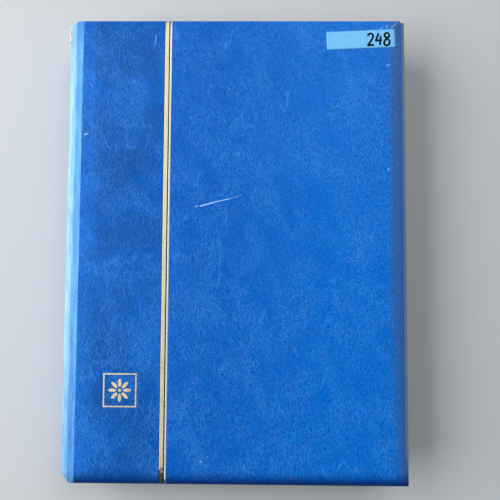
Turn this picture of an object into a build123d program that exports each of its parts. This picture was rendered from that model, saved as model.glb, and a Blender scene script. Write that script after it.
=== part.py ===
"""A4 padded stamp stockbook: case with two padded covers, spine, and sixteen pocket leaves.

The closed album lies on its back cover. X runs from the spine (-X) to the fore-edge (+X),
Y from the tail (-Y) to the head (+Y), Z up. The origin is the centre of the underside.
Depths in a cover are measured from its padded outer plane towards the leaves.
"""
from build123d import *
from math import acos, atan2, cos, degrees, sin
import os

# Overall size of the closed album
ALBUM_WIDTH = 225.0          # spine face to fore-edge
ALBUM_HEIGHT = 307.0         # tail edge to head edge
LEAF_COUNT = 16

# Layers of a cover, from the outside in
SKIN = 0.5                   # leatherette
PADDING = 3.0                # foam at the flat of the cover
BOARD = 2.0                  # grey board
ENDPAPER = 0.25

# How the padding rolls down at the edges of a cover
FORE_ROLL = 13.0             # width of the roll at the fore-edge
END_ROLL = 7.0               # width of the roll at head and tail
JOINT_ROLL = 2.2             # width of the tight roll beside the joint strip
JOINT_DROP = 1.8             # depth of the crease between cover and joint strip

# Joint strip and spine
JOINT_STRIP = 7.2            # width of the sloped strip from the crease to the spine face
SHOULDER_DEPTH = 8.0         # depth at which the strip has become the upright spine
HINGE_INSET = 3.1            # cover hinge line, inward from the spine face
HINGE_DEPTH = 3.2            # cover hinge line, inward from the cover's outer plane
HINGE_GAP = 0.42             # skin cut back from the hinge line on each side
SPINE_BOARD = 2.0

# Turned-in skin and endpaper on the inside of a cover
TURN_IN = 14.0               # width of the turned-in skin
ENDPAPER_MARGIN = 4.0        # skin left showing round the endpaper

# Leaves
LEAF_PITCH = 1.65
CARD = 0.5
CARD_OVERHANG = 5.0          # cover beyond the card at head, tail and fore-edge
CARD_CORNER = 3.0
LINEN = 0.15                 # linen hinge between the block and the card
LINEN_LAP = 0.08             # linen where it is glued over the card
LINEN_REACH = 14.0           # hinge line to the card's edge
LAP_WIDTH = 6.0              # linen glued on each face of the card
GLUE = 0.02                  # glue line between linen and card
FILM = 0.1                   # clear pocket strip
STRIP_COUNT = 9              # pocket strips on each face of a leaf
STRIP_GAP = 4.4              # card left bare between one strip and the next
STRIP_END_MARGIN = 6.0       # card left bare beyond the first and last strip
STRIP_SIDE_MARGIN = 4.0      # card left bare beyond the ends of the strips
INTERLEAF = 0.1              # glassine sheet
INTERLEAF_INSET = 1.0        # glassine back from the card's head, tail and fore-edge
INTERLEAF_LIFT = 0.1         # glassine above the linen it is tipped on to
TIP_INSET = 2.0              # glassine back from the card's hinge edge
TIP_WIDTH = 3.0              # glue line that holds the glassine

# Clearances
COVER_CLEARANCE = 0.3        # between an endpaper and the nearest pocket strip or block end
HINGE_CLEARANCE = 0.3        # between the block face and the leaves' hinge lines
BLOCK_DEPTH = 6.2            # spine board to block face
STUB_GROOVE = 1.5            # depth of the grooves between the stubs
STUB_GROOVE_WIDTH = 0.5
TURN_CLEARANCE = 0.3         # between the block's ends and the spine's turned-in skin

# Stamped foil on the front cover
FOIL = 0.1
FOIL_SINK = 0.25             # depth of the stamped recess
WIDE_LINE_LEFT = 64.2        # spine face to the wide line
WIDE_LINE = 2.6
LINE_SPACE = 0.8
THIN_LINE = 1.1
LINE_STOP = 1.0              # end of the lines to the cover's edge
ORNAMENT_FROM_SPINE = 38.0   # centre of the ornament
ORNAMENT_FROM_TAIL = 60.1
ORNAMENT_SIZE = 21.7
ORNAMENT_LINE = 1.1
PETAL_COUNT = 8
PETAL_LENGTH = 5.2
PETAL_WIDTH = 2.2
PETAL_RING = 4.8             # ornament centre to the middle of a petal
BUD_RADIUS = 1.1

# Label on the front cover
LABEL_LENGTH = 46.0
LABEL_WIDTH = 12.3
LABEL_FILM = 0.1
LABEL_FROM_FORE_EDGE = 29.5  # label centre
LABEL_FROM_HEAD = 13.9
LABEL_TILT = 2.6             # degrees, fore-edge end towards the head
LABEL_CORNER = 0.8

# Places worked out from the sizes
SPINE_FACE = -ALBUM_WIDTH / 2
FORE_EDGE = ALBUM_WIDTH / 2
HALF_HEIGHT = ALBUM_HEIGHT / 2
CREASE = SPINE_FACE + JOINT_STRIP
CORE_LEFT = CREASE + SKIN
CORE_RIGHT = FORE_EDGE - SKIN
CORE_HALF = HALF_HEIGHT - SKIN
BOARD_FACE = SKIN + PADDING
BOARD_BACK = BOARD_FACE + BOARD
TURN_IN_FACE = BOARD_BACK + SKIN
COVER_THICKNESS = TURN_IN_FACE + ENDPAPER

LEAF_HALF = CARD / 2 + FILM
FIRST_LEAF = COVER_THICKNESS + COVER_CLEARANCE + LEAF_HALF
LEAF_LEVELS = [FIRST_LEAF + number * LEAF_PITCH for number in range(LEAF_COUNT)]
THICKNESS = LEAF_LEVELS[-1] + FIRST_LEAF
MIDDLE = Plane.XY.offset(THICKNESS / 2)

BLOCK_BACK = SPINE_FACE + SKIN + SPINE_BOARD
BLOCK_FACE = BLOCK_BACK + BLOCK_DEPTH
LEAF_HINGE = BLOCK_FACE + HINGE_CLEARANCE
CARD_LEFT = LEAF_HINGE + LINEN_REACH
CARD_RIGHT = FORE_EDGE - CARD_OVERHANG
CARD_HALF = HALF_HEIGHT - CARD_OVERHANG

os.makedirs("parts", exist_ok=True)


def save(piece, label):
    """Name a finished piece and write its STEP file."""
    piece.part.label = label
    export_step(piece.part, f"parts/{label}.step")


def box_between(left, right, front, back, bottom, top, mode=Mode.ADD):
    """Add a box to the current piece, given by its limits along X, Y and Z."""
    with Locations(((left + right) / 2, (front + back) / 2, (bottom + top) / 2)):
        Box(right - left, back - front, top - bottom, mode=mode)


def padded_outline(plane, left_end, right_end, face, back):
    """Draw a cover cut across: a flat face at the given depth that rolls over at both ends.

    Each end is given as its place, the width of its roll and the drop of its roll.
    """
    left, left_roll, left_drop = left_end
    right, right_roll, right_drop = right_end
    with BuildSketch(plane) as outline:
        with BuildLine():
            EllipticalCenterArc((left + left_roll, face + left_drop), left_roll, left_drop, 180, arc_size=90)
            Line((left + left_roll, face), (right - right_roll, face))
            EllipticalCenterArc((right - right_roll, face + right_drop), right_roll, right_drop, 270, arc_size=90)
            Polyline((right, face + right_drop), (right, back), (left, back), (left, face + left_drop))
        make_face()
    return outline.sketch


def across_outline(inset, back):
    """Draw the cover from joint to fore-edge, drawn in by the inset."""
    joint_end = (CREASE + inset, JOINT_ROLL - inset, JOINT_DROP)
    fore_end = (FORE_EDGE - inset, FORE_ROLL - inset, PADDING - inset)
    return padded_outline(Plane.XZ, joint_end, fore_end, inset, back)


def along_outline(place, inset, back):
    """Draw the cover from tail to head at a place along X, drawn in by the inset."""
    tail_end = (inset - HALF_HEIGHT, END_ROLL - inset, PADDING - inset)
    head_end = (HALF_HEIGHT - inset, END_ROLL - inset, PADDING - inset)
    return padded_outline(Plane.YZ.offset(place), tail_end, head_end, inset, back)


def cover_form(inset, back):
    """Make a cover that rolls over at all four edges, drawn in by the inset."""
    with BuildPart() as form:
        extrude(across_outline(inset, back), amount=HALF_HEIGHT - inset, both=True)
        extrude(along_outline(0, inset, back), amount=ALBUM_WIDTH, both=True, mode=Mode.INTERSECT)
    return form.part


def joint_skin(keeps_cover):
    """Make the strip's skin from crease to spine face, cut back from one side of the hinge line."""
    width = JOINT_STRIP - SKIN / 2
    drop = SHOULDER_DEPTH - JOINT_DROP - SKIN / 2
    turn = acos((JOINT_STRIP - HINGE_INSET) / width)
    slope = degrees(atan2(-drop * cos(turn), width * sin(turn)))
    kept_side = Align.MIN if keeps_cover else Align.MAX
    cut_back = HINGE_GAP if keeps_cover else -HINGE_GAP
    with BuildPart() as skin:
        with BuildSketch(Plane.XZ):
            for inset, mode in ((0, Mode.ADD), (SKIN, Mode.SUBTRACT)):
                with BuildLine():
                    EllipticalCenterArc(
                        (CREASE, SHOULDER_DEPTH), JOINT_STRIP - inset, SHOULDER_DEPTH - JOINT_DROP - inset,
                        180, arc_size=90,
                    )
                    Polyline(
                        (CREASE, JOINT_DROP + inset), (CREASE, SHOULDER_DEPTH),
                        (SPINE_FACE + inset, SHOULDER_DEPTH),
                    )
                make_face(mode=mode)
            with Locations(Location((SPINE_FACE + HINGE_INSET, HINGE_DEPTH), slope)):
                with Locations((cut_back, 0)):
                    Rectangle(
                        2 * SHOULDER_DEPTH, 4 * SHOULDER_DEPTH,
                        align=(kept_side, Align.CENTER), mode=Mode.INTERSECT,
                    )
        extrude(amount=HALF_HEIGHT, both=True)
    return skin.part


def foil_lines(top, bottom):
    """Make the two full-height stamped lines as a layer between two depths in the cover."""
    wide_left = SPINE_FACE + WIDE_LINE_LEFT
    thin_left = wide_left + WIDE_LINE + LINE_SPACE
    thin_right = thin_left + THIN_LINE
    with BuildPart() as lines:
        for left, width in ((wide_left, WIDE_LINE), (thin_left, THIN_LINE)):
            extrude(along_outline(left, top, BOARD_FACE), amount=width)
        extrude(
            along_outline(wide_left, bottom, BOARD_BACK),
            amount=thin_right - wide_left, mode=Mode.SUBTRACT,
        )
        box_between(
            wide_left, thin_right, LINE_STOP - HALF_HEIGHT, HALF_HEIGHT - LINE_STOP,
            0, BOARD_FACE, Mode.INTERSECT,
        )
    return lines.part


def foil_ornament(top, bottom):
    """Make the stamped square with its eight-petalled flower as a layer between two depths."""
    inside = ORNAMENT_SIZE - 2 * ORNAMENT_LINE
    with BuildPart() as ornament:
        with BuildSketch(Plane.XY.offset(top)):
            with Locations((SPINE_FACE + ORNAMENT_FROM_SPINE, ORNAMENT_FROM_TAIL - HALF_HEIGHT)):
                Rectangle(ORNAMENT_SIZE, ORNAMENT_SIZE)
                Rectangle(inside, inside, mode=Mode.SUBTRACT)
                Circle(BUD_RADIUS)
                with PolarLocations(PETAL_RING, PETAL_COUNT):
                    Ellipse(PETAL_LENGTH / 2, PETAL_WIDTH / 2)
        extrude(amount=bottom - top)
    return ornament.part


def label_form(depth):
    """Make the tilted label as a layer that starts at the cover's outer plane."""
    place = (FORE_EDGE - LABEL_FROM_FORE_EDGE, HALF_HEIGHT - LABEL_FROM_HEAD)
    with BuildPart() as label:
        with BuildSketch(Plane.XY):
            with Locations(Location(place, LABEL_TILT)):
                RectangleRounded(LABEL_LENGTH, LABEL_WIDTH, LABEL_CORNER)
        extrude(amount=depth)
    return label.part


# Back cover, lying with its padded side down
padded_form = cover_form(0, TURN_IN_FACE)
core_form = cover_form(SKIN, BOARD_BACK)

with BuildPart() as back_leatherette:
    add(padded_form)
    box_between(CREASE, CORE_LEFT, -HALF_HEIGHT, HALF_HEIGHT, JOINT_DROP + SKIN, TURN_IN_FACE, Mode.SUBTRACT)
    add(core_form, mode=Mode.SUBTRACT)
    box_between(
        CREASE, FORE_EDGE - TURN_IN, TURN_IN - HALF_HEIGHT, HALF_HEIGHT - TURN_IN,
        BOARD_BACK, TURN_IN_FACE, Mode.SUBTRACT,
    )
    add(joint_skin(keeps_cover=True))
save(back_leatherette, "back_leatherette")

with BuildPart() as back_board:
    box_between(CORE_LEFT, CORE_RIGHT, -CORE_HALF, CORE_HALF, BOARD_FACE, BOARD_BACK)
save(back_board, "back_board")

with BuildPart() as back_padding:
    add(core_form)
    split(bisect_by=Plane.XY.offset(BOARD_FACE), keep=Keep.BOTTOM)
save(back_padding, "back_padding")

# The endpaper lies on the turned-in skin round its edge and dips to the board inside it
with BuildPart() as back_endpaper:
    turned_right = FORE_EDGE - TURN_IN
    turned_half = HALF_HEIGHT - TURN_IN
    paper_half = HALF_HEIGHT - ENDPAPER_MARGIN
    box_between(CORE_LEFT, FORE_EDGE - ENDPAPER_MARGIN, -paper_half, paper_half, TURN_IN_FACE, COVER_THICKNESS)
    box_between(CORE_LEFT, turned_right, -turned_half, turned_half, BOARD_BACK, COVER_THICKNESS)
    box_between(
        CORE_LEFT, turned_right - ENDPAPER, ENDPAPER - turned_half, turned_half - ENDPAPER,
        BOARD_BACK + ENDPAPER, COVER_THICKNESS, Mode.SUBTRACT,
    )
save(back_endpaper, "back_endpaper")

# Front cover, the back cover mirrored to the top, stamped and labelled
with BuildPart() as front_leatherette:
    add(back_leatherette.part)
    add(foil_lines(0, FOIL_SINK), mode=Mode.SUBTRACT)
    add(foil_ornament(0, FOIL_SINK), mode=Mode.SUBTRACT)
    add(label_form(LABEL_FILM), mode=Mode.SUBTRACT)
    mirror(about=MIDDLE, mode=Mode.REPLACE)
save(front_leatherette, "front_leatherette")

for source, label in (
    (back_board, "front_board"),
    (back_padding, "front_padding"),
    (back_endpaper, "front_endpaper"),
):
    with BuildPart() as front_layer:
        mirror(source.part, about=MIDDLE)
    save(front_layer, label)

with BuildPart() as gold_foil:
    mirror(foil_lines(FOIL_SINK - FOIL, FOIL_SINK), about=MIDDLE)
    mirror(foil_ornament(FOIL_SINK - FOIL, FOIL_SINK), about=MIDDLE)
save(gold_foil, "gold_foil")

with BuildPart() as index_label:
    mirror(label_form(LABEL_FILM), about=MIDDLE)
save(index_label, "index_label")

# Spine
spine_top = THICKNESS - SHOULDER_DEPTH
block_low = COVER_THICKNESS + COVER_CLEARANCE
block_high = THICKNESS - block_low

with BuildPart() as spine_board:
    box_between(SPINE_FACE + SKIN, BLOCK_BACK, -CORE_HALF, CORE_HALF, SHOULDER_DEPTH, spine_top)
save(spine_board, "spine_board")

with BuildPart() as spine_leatherette:
    add(joint_skin(keeps_cover=False))
    mirror(about=MIDDLE)
    box_between(SPINE_FACE, SPINE_FACE + SKIN, -HALF_HEIGHT, HALF_HEIGHT, SHOULDER_DEPTH, spine_top)
    for side in (-1, 1):
        board_end = sorted((side * CORE_HALF, side * HALF_HEIGHT))
        folded = sorted((side * (CARD_HALF + TURN_CLEARANCE), side * HALF_HEIGHT))
        box_between(SPINE_FACE, BLOCK_BACK, *board_end, SHOULDER_DEPTH, spine_top)
        box_between(BLOCK_BACK, BLOCK_BACK + SKIN, *folded, SHOULDER_DEPTH, spine_top)
save(spine_leatherette, "spine_leatherette")

# Block of glued stubs, grooved between one leaf and the next
with BuildPart() as binding_block:
    box_between(BLOCK_BACK, BLOCK_FACE, -CARD_HALF, CARD_HALF, block_low, block_high)
    for level in LEAF_LEVELS[:-1]:
        groove = level + (LEAF_PITCH - STUB_GROOVE_WIDTH) / 2
        box_between(
            BLOCK_FACE - STUB_GROOVE, BLOCK_FACE, -CARD_HALF, CARD_HALF,
            groove, groove + STUB_GROOVE_WIDTH, Mode.SUBTRACT,
        )
save(binding_block, "binding_block")


def make_leaf(level):
    """Card with the linen hinge glued over its edge."""
    card_half = CARD / 2
    lap_face = card_half + GLUE + LINEN_LAP
    with BuildPart() as leaf:
        box_between(
            CARD_LEFT - GLUE - LINEN_LAP, CARD_LEFT + LAP_WIDTH, -CARD_HALF, CARD_HALF,
            level - lap_face, level + lap_face,
        )
        box_between(LEAF_HINGE, CARD_LEFT, -CARD_HALF, CARD_HALF, level - LINEN / 2, level + LINEN / 2)
        box_between(
            CARD_LEFT - GLUE, CARD_LEFT + LAP_WIDTH, -CARD_HALF, CARD_HALF,
            level - card_half - GLUE, level + card_half + GLUE, Mode.SUBTRACT,
        )
        with BuildSketch(Plane.XY.offset(level - card_half)):
            with Locations(((CARD_LEFT + CARD_RIGHT) / 2, 0)):
                card_face = Rectangle(CARD_RIGHT - CARD_LEFT, 2 * CARD_HALF)
                fillet(card_face.vertices().group_by(Axis.X)[-1], CARD_CORNER)
        extrude(amount=CARD)
    return leaf


def make_pockets(level):
    """Rows of clear strips on both faces of a leaf."""
    left = CARD_LEFT + LAP_WIDTH + STRIP_SIDE_MARGIN
    right = CARD_RIGHT - STRIP_SIDE_MARGIN
    row_pitch = 2 * (CARD_HALF - STRIP_END_MARGIN) / STRIP_COUNT
    with BuildPart() as pockets:
        for face in (level + CARD / 2, level - CARD / 2 - FILM):
            with BuildSketch(Plane.XY.offset(face)):
                with Locations(((left + right) / 2, 0)):
                    with GridLocations(0, row_pitch, 1, STRIP_COUNT):
                        Rectangle(right - left, row_pitch - STRIP_GAP)
            extrude(amount=FILM)
    return pockets


def make_interleaf(level):
    """Glassine sheet tipped on to the linen of the leaf below it."""
    lap_face = level + CARD / 2 + GLUE + LINEN_LAP
    left = CARD_LEFT + TIP_INSET
    half = CARD_HALF - INTERLEAF_INSET
    with BuildPart() as interleaf:
        box_between(left, left + TIP_WIDTH, -half, half, lap_face, lap_face + INTERLEAF_LIFT)
        sheet = lap_face + INTERLEAF_LIFT
        box_between(left, CARD_RIGHT - INTERLEAF_INSET, -half, half, sheet, sheet + INTERLEAF)
    return interleaf


# Leaves are numbered from the front of the album, so the last lies lowest
for number in range(1, LEAF_COUNT + 1):
    level = LEAF_LEVELS[LEAF_COUNT - number]
    save(make_leaf(level), f"leaf_{number:02d}")
    save(make_pockets(level), f"leaf_{number:02d}_pockets")
    if number > 1:
        save(make_interleaf(level), f"leaf_{number:02d}_interleaf")
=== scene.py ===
# %% [markdown]
# # A padded stamp album
#
# This script dresses a measured album: two foam-padded covers in blue leatherette, a spine, sixteen black
# pocket leaves with glassine between them, two lines of stamped foil, a stamped ornament and a paper label.
# The measured parts are loaded first, and every size below comes from them or is a named value.
# Objects are in metres. X runs from the spine to the fore-edge, Y from the tail to the head, Z is up.

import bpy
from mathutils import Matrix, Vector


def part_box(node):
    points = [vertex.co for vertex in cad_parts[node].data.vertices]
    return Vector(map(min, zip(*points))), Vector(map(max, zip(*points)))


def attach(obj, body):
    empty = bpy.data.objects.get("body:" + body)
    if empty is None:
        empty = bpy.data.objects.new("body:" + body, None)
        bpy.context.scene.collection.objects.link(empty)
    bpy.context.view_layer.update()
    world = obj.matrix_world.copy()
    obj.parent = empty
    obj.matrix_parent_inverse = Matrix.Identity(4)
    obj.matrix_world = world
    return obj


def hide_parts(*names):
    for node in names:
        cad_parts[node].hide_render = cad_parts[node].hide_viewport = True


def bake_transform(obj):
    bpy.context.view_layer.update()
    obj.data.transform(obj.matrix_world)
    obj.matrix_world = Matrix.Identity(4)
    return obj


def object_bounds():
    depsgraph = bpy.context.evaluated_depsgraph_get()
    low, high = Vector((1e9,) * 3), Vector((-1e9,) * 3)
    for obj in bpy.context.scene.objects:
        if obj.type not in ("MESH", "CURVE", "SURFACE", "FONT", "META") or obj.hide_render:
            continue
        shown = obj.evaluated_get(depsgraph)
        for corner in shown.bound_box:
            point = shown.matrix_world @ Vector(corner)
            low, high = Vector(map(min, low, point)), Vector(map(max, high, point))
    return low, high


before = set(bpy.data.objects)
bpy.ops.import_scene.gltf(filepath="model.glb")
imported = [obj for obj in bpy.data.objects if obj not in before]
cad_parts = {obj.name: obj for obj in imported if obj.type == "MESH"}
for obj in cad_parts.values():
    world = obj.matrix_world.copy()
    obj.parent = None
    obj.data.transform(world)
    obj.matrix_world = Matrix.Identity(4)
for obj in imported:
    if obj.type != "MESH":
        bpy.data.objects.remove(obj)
cad_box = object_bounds()
print("the album measures", [round(1000 * (hi - lo), 1) for lo, hi in zip(*cad_box)], "mm")

# %% [markdown]
# The board inside the front cover tells where the cover's edges lie, because the leatherette goes round it.
# The shapes of the rolled edges can't be read from a box, so their widths are named here once.
# Depths are measured from a cover's outer plane towards the leaves, so both covers share one set of values.

# %% Sizes shared by the pieces
import math

import bmesh
import bpy
import numpy as np
from mathutils import Matrix, Vector

MM = 0.001
SKIN = 0.5 * MM                 # leatherette
FORE_ROLL = 13.0 * MM           # where the padding rolls down at the fore-edge
END_ROLL = 7.0 * MM             # the same at head and tail
JOINT_ROLL = 2.2 * MM           # the tight roll beside the joint groove
PADDING_DROP = 3.0 * MM         # how far the padding falls at the outer edges
JOINT_DROP = 1.8 * MM           # depth of the joint groove
SHOULDER_DEPTH = 8.0 * MM       # depth at which the groove's far side has become the upright spine

board_low, board_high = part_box("front_board")
block_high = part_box("binding_block")[1]
THICKNESS = cad_box[1].z
SPINE_FACE = cad_box[0].x
SKIN_FACE = SPINE_FACE - 1.2 * MM   # the spine's skin bulges this much past the measured face
FORE_EDGE = board_high.x + SKIN
HALF_HEIGHT = board_high.y + SKIN
GROOVE = board_low.x - SKIN     # bottom of the joint groove
BOARD_DEPTH = THICKNESS - board_high.z
print(
    "groove to fore-edge", round(1000 * (FORE_EDGE - GROOVE), 1), "mm, thickness",
    round(1000 * THICKNESS, 2)
)

# %% [markdown]
# Most pieces here are sheets: points in rows and columns, joined by four-sided faces. One helper turns
# such a net of points into a mesh, another gives a finished sheet its thickness. Solidify is applied
# straight away.


# %% Helpers for meshes
def add_mesh(name, vertices, faces, smooth=True):
    """Make an object from a list of points and faces, in place in the album's frame."""
    mesh = bpy.data.meshes.new(name)
    mesh.from_pydata([tuple(v) for v in vertices], [], [tuple(int(i) for i in f) for f in faces])
    mesh.update()
    mesh.polygons.foreach_set("use_smooth", [smooth] * len(mesh.polygons))
    piece = bpy.data.objects.new(name, mesh)
    bpy.context.scene.collection.objects.link(piece)
    return piece


def net_faces(rows, columns, first=0):
    """Faces of a net of points that are numbered row by row."""
    index = first + np.arange(rows * columns).reshape(rows, columns)
    corners = (index[:-1, :-1], index[:-1, 1:], index[1:, 1:], index[1:, :-1])
    return np.stack([c.ravel() for c in corners], axis=1)


def graded(*spans):
    """Positions from the spans' start to their end; each span is (start, end, step)."""
    values = [np.array([spans[0][0]])]
    for start, end, step in spans:
        count = max(1, math.ceil(abs(end - start) / step - 1e-6))
        values.append(np.linspace(start, end, count + 1)[1:])
    return np.concatenate(values)


def add_net(name, points, flip=False):
    """Make a sheet from an array of points in rows and columns."""
    rows, columns = points.shape[:2]
    faces = net_faces(rows, columns)
    return add_mesh(name, points.reshape(-1, 3), faces[:, ::-1] if flip else faces)


def bake_modifiers(piece):
    """Turn a piece and its modifiers into one plain mesh."""
    evaluated = piece.evaluated_get(bpy.context.evaluated_depsgraph_get())
    mesh = bpy.data.meshes.new_from_object(evaluated)
    piece.modifiers.clear()
    old = piece.data
    piece.data = mesh
    mesh.name = piece.name
    bpy.data.meshes.remove(old)
    return piece


def thicken(piece, thickness, offset=-1.0):
    """Give a sheet a wall on the inner side of its faces."""
    solid = piece.modifiers.new("wall", "SOLIDIFY")
    solid.thickness = thickness
    solid.offset = offset
    return bake_modifiers(piece)


def merge_points(piece, distance=1e-6):
    """Close seams and remove faces that have shrunk to nothing."""
    edit = bmesh.new()
    edit.from_mesh(piece.data)
    bmesh.ops.remove_doubles(edit, verts=edit.verts, dist=distance)
    bmesh.ops.dissolve_degenerate(edit, edges=edit.edges, dist=distance / 10)
    edit.to_mesh(piece.data)
    edit.free()
    return piece


def on_side(points, front):
    """Turn (x, y, depth) into (x, y, z) for the front or the back cover."""
    placed = np.array(points, float)
    placed[..., 2] = THICKNESS - placed[..., 2] if front else placed[..., 2]
    return placed


def closed_slab(name, faces_of_slab, front):
    """A closed piece between two nets of (x, y, depth) with the same rows and columns."""
    outer, inner = (on_side(points, front) for points in faces_of_slab)
    rows, columns = outer.shape[:2]
    count = rows * columns
    index = np.arange(count).reshape(rows, columns)
    rim = np.concatenate([index[0, :-1], index[:-1, -1], index[-1, :0:-1], index[:0:-1, 0]])
    following = np.roll(rim, -1)
    walls = np.stack([following, rim, rim + count, following + count], axis=1)
    faces = np.concatenate([net_faces(rows, columns), net_faces(rows, columns, count)[:, ::-1], walls])
    if not front:
        faces = faces[:, ::-1]
    slab = add_mesh(name, np.concatenate([outer.reshape(-1, 3), inner.reshape(-1, 3)]), faces)
    slab.data.set_sharp_from_angle(angle=math.radians(55))
    return slab


def join_pieces(name, pieces):
    """Make one object of several."""
    edit = bmesh.new()
    for piece in pieces:
        edit.from_mesh(piece.data)
    mesh = bpy.data.meshes.new(name)
    edit.to_mesh(mesh)
    edit.free()
    for material in pieces[0].data.materials:
        mesh.materials.append(material)
    for piece in pieces:
        bpy.data.objects.remove(piece)
    joined = bpy.data.objects.new(name, mesh)
    bpy.context.scene.collection.objects.link(joined)
    return joined


def tell(piece):
    """Print how large a piece is and how many faces it has."""
    size = [round(1000 * d, 1) for d in piece.dimensions]
    print(f"{piece.name}: {size} mm, {len(piece.data.polygons)} faces")
    return piece


# %% [markdown]
# ## Camera
# The album lies on a table and is looked at from almost straight above, from a hand's height. The camera is
# a little towards the tail and to the right, and tilted back, so the tail looks wider than the head. So near,
# the sides of the album hide under the cover, and only the joint and the rolled edges show its depth.

# %% Camera
CAMERA_PLACE = (13.3 * MM, -20.7 * MM, 378.0 * MM)
CAMERA_TURN = (3.17, 0.62, 0.34)      # degrees about X, Y and Z
LENS = 37.3                            # millimetres, on a sensor 36 mm wide

camera_data = bpy.data.cameras.new("camera")
camera_data.lens = LENS
camera_data.sensor_width = 36.0
camera_data.clip_start = 0.01
camera = bpy.data.objects.new("camera", camera_data)
camera.location = CAMERA_PLACE
camera.rotation_euler = [math.radians(a) for a in CAMERA_TURN]
bpy.context.scene.collection.objects.link(camera)
bpy.context.scene.camera = camera

# %% [markdown]
# ## Table and light
# A window stands to the left of the table and a bright ceiling hangs above it. The window lights the slope
# of the joint groove, the ceiling is what the foil mirrors, and the right and near sides stay darker, which
# makes the padded edges turn away there. Soft area lamps do both, with a dim even world behind them. The
# leatherette's colour adds painted light and shade to this, and the foil a painted dark reflection at the
# tail.


# %% Table and lights
def add_lamp(name, place, aim, size, power, colour=(1.0, 1.0, 1.0)):
    """Hang a soft rectangular lamp and turn it towards a point."""
    data = bpy.data.lights.new(name, "AREA")
    data.shape = "RECTANGLE"
    data.size, data.size_y = size
    data.energy = power
    data.color = colour
    lamp = bpy.data.objects.new(name, data)
    lamp.location = place
    lamp.rotation_euler = (Vector(aim) - Vector(place)).to_track_quat("-Z", "Y").to_euler()
    lamp.visible_camera = False
    bpy.context.scene.collection.objects.link(lamp)
    return lamp


add_lamp("window", (-1.0, 0.15, 0.80), (0, 0, 0), (1.5, 1.0), 21.0, (0.94, 0.98, 1.0))
add_lamp("ceiling", (0.6, 1.1, 1.5), (0, 0, 0), (1.4, 1.4), 15.0)

world = bpy.data.worlds.new("room")
world.use_nodes = True
world.node_tree.nodes["Background"].inputs["Color"].default_value = (0.80, 0.88, 1.0, 1.0)
world.node_tree.nodes["Background"].inputs["Strength"].default_value = 0.14
bpy.context.scene.world = world
bpy.context.scene.view_settings.view_transform = "Standard"

table_top = add_mesh(
    "table_top", [(-3, -3, 0), (3, -3, 0), (3, 3, 0), (-3, 3, 0)], [(0, 1, 2, 3)], smooth=False
)
table_material = bpy.data.materials.new("pale_table")
table_material.use_nodes = True
table_material.node_tree.nodes["Principled BSDF"].inputs["Base Color"].default_value = (0.60, 0.61, 0.62, 1.0)
table_material.node_tree.nodes["Principled BSDF"].inputs["Roughness"].default_value = 0.9
table_top.data.materials.append(table_material)

# %% [markdown]
# ## Helpers for materials
# A material is a small graph of nodes. One helper adds a node and fills its inputs, either with a number or
# with another node's output. A second one starts a shader node group with named inputs and outputs, for the
# effects that several finishes share.


# %% Helpers for nodes
def add_node(tree, kind, inputs=(), **settings):
    """Add a node, set its options, and fill its inputs by name or number."""
    made = tree.nodes.new(kind)
    for key, value in settings.items():
        setattr(made, key, value)
    for key, value in dict(inputs).items():
        if isinstance(value, bpy.types.NodeSocket):
            tree.links.new(value, made.inputs[key])
        else:
            made.inputs[key].default_value = value
    return made


def math_node(tree, operation, first, second=0.0, clamp=False):
    """The result of one sum on two numbers or sockets."""
    return add_node(
        tree, "ShaderNodeMath", {0: first, 1: second}, operation=operation, use_clamp=clamp
    ).outputs[0]


def step_node(tree, value, low, high, to_low=0.0, to_high=1.0):
    """A soft step: to_low where value is under low, to_high where it is over high."""
    inputs = {"Value": value, "From Min": low, "From Max": high, "To Min": to_low, "To Max": to_high}
    return add_node(tree, "ShaderNodeMapRange", inputs, interpolation_type="SMOOTHSTEP").outputs["Result"]


def noise_node(tree, vector, size, detail=2.0, roughness=0.5, distortion=0.0):
    """Cloudy noise whose blobs are about size metres across."""
    inputs = {"Vector": vector, "Scale": 1 / size, "Detail": detail, "Roughness": roughness}
    inputs["Distortion"] = distortion
    return add_node(tree, "ShaderNodeTexNoise", inputs).outputs["Fac"]


def mix_colours(tree, factor, first, second):
    """Go from the first colour to the second as factor rises."""
    made = add_node(tree, "ShaderNodeMix", {0: factor, 6: first, 7: second}, data_type="RGBA")
    return made.outputs[2]


def new_group(name, inputs, outputs):
    """Start a shader node group with named sockets. Returns the group, its input node and its output node."""
    group = bpy.data.node_groups.new(name, "ShaderNodeTree")
    for title, kind, value in inputs:
        socket = group.interface.new_socket(title, in_out="INPUT", socket_type=kind)
        if value is not None:
            socket.default_value = value
    for title, kind in outputs:
        group.interface.new_socket(title, in_out="OUTPUT", socket_type=kind)
    return group, group.nodes.new("NodeGroupInput"), group.nodes.new("NodeGroupOutput")


def place_group(tree, group, inputs):
    """Place a group in a material's tree and fill its inputs."""
    made = tree.nodes.new("ShaderNodeGroup")
    made.node_tree = group
    for key, value in inputs.items():
        if isinstance(value, bpy.types.NodeSocket):
            tree.links.new(value, made.inputs[key])
        else:
            made.inputs[key].default_value = value
    return made


def new_material(name):
    """Start a material. Returns it, its tree, its shader and the object's coordinates."""
    material = bpy.data.materials.new(name)
    material.use_nodes = True
    tree = material.node_tree
    shader = tree.nodes["Principled BSDF"]
    place = tree.nodes.new("ShaderNodeTexCoord").outputs["Object"]
    return material, tree, shader, place


def add_bump(tree, shader, height, depth, strength=1.0):
    """Bend the surface's shading as if it were depth metres rough."""
    bump = add_node(tree, "ShaderNodeBump", {"Height": height, "Distance": depth, "Strength": strength})
    tree.links.new(bump.outputs["Normal"], shader.inputs["Normal"])
    return bump


FLOAT = "NodeSocketFloat"
VECTOR = "NodeSocketVector"

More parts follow.
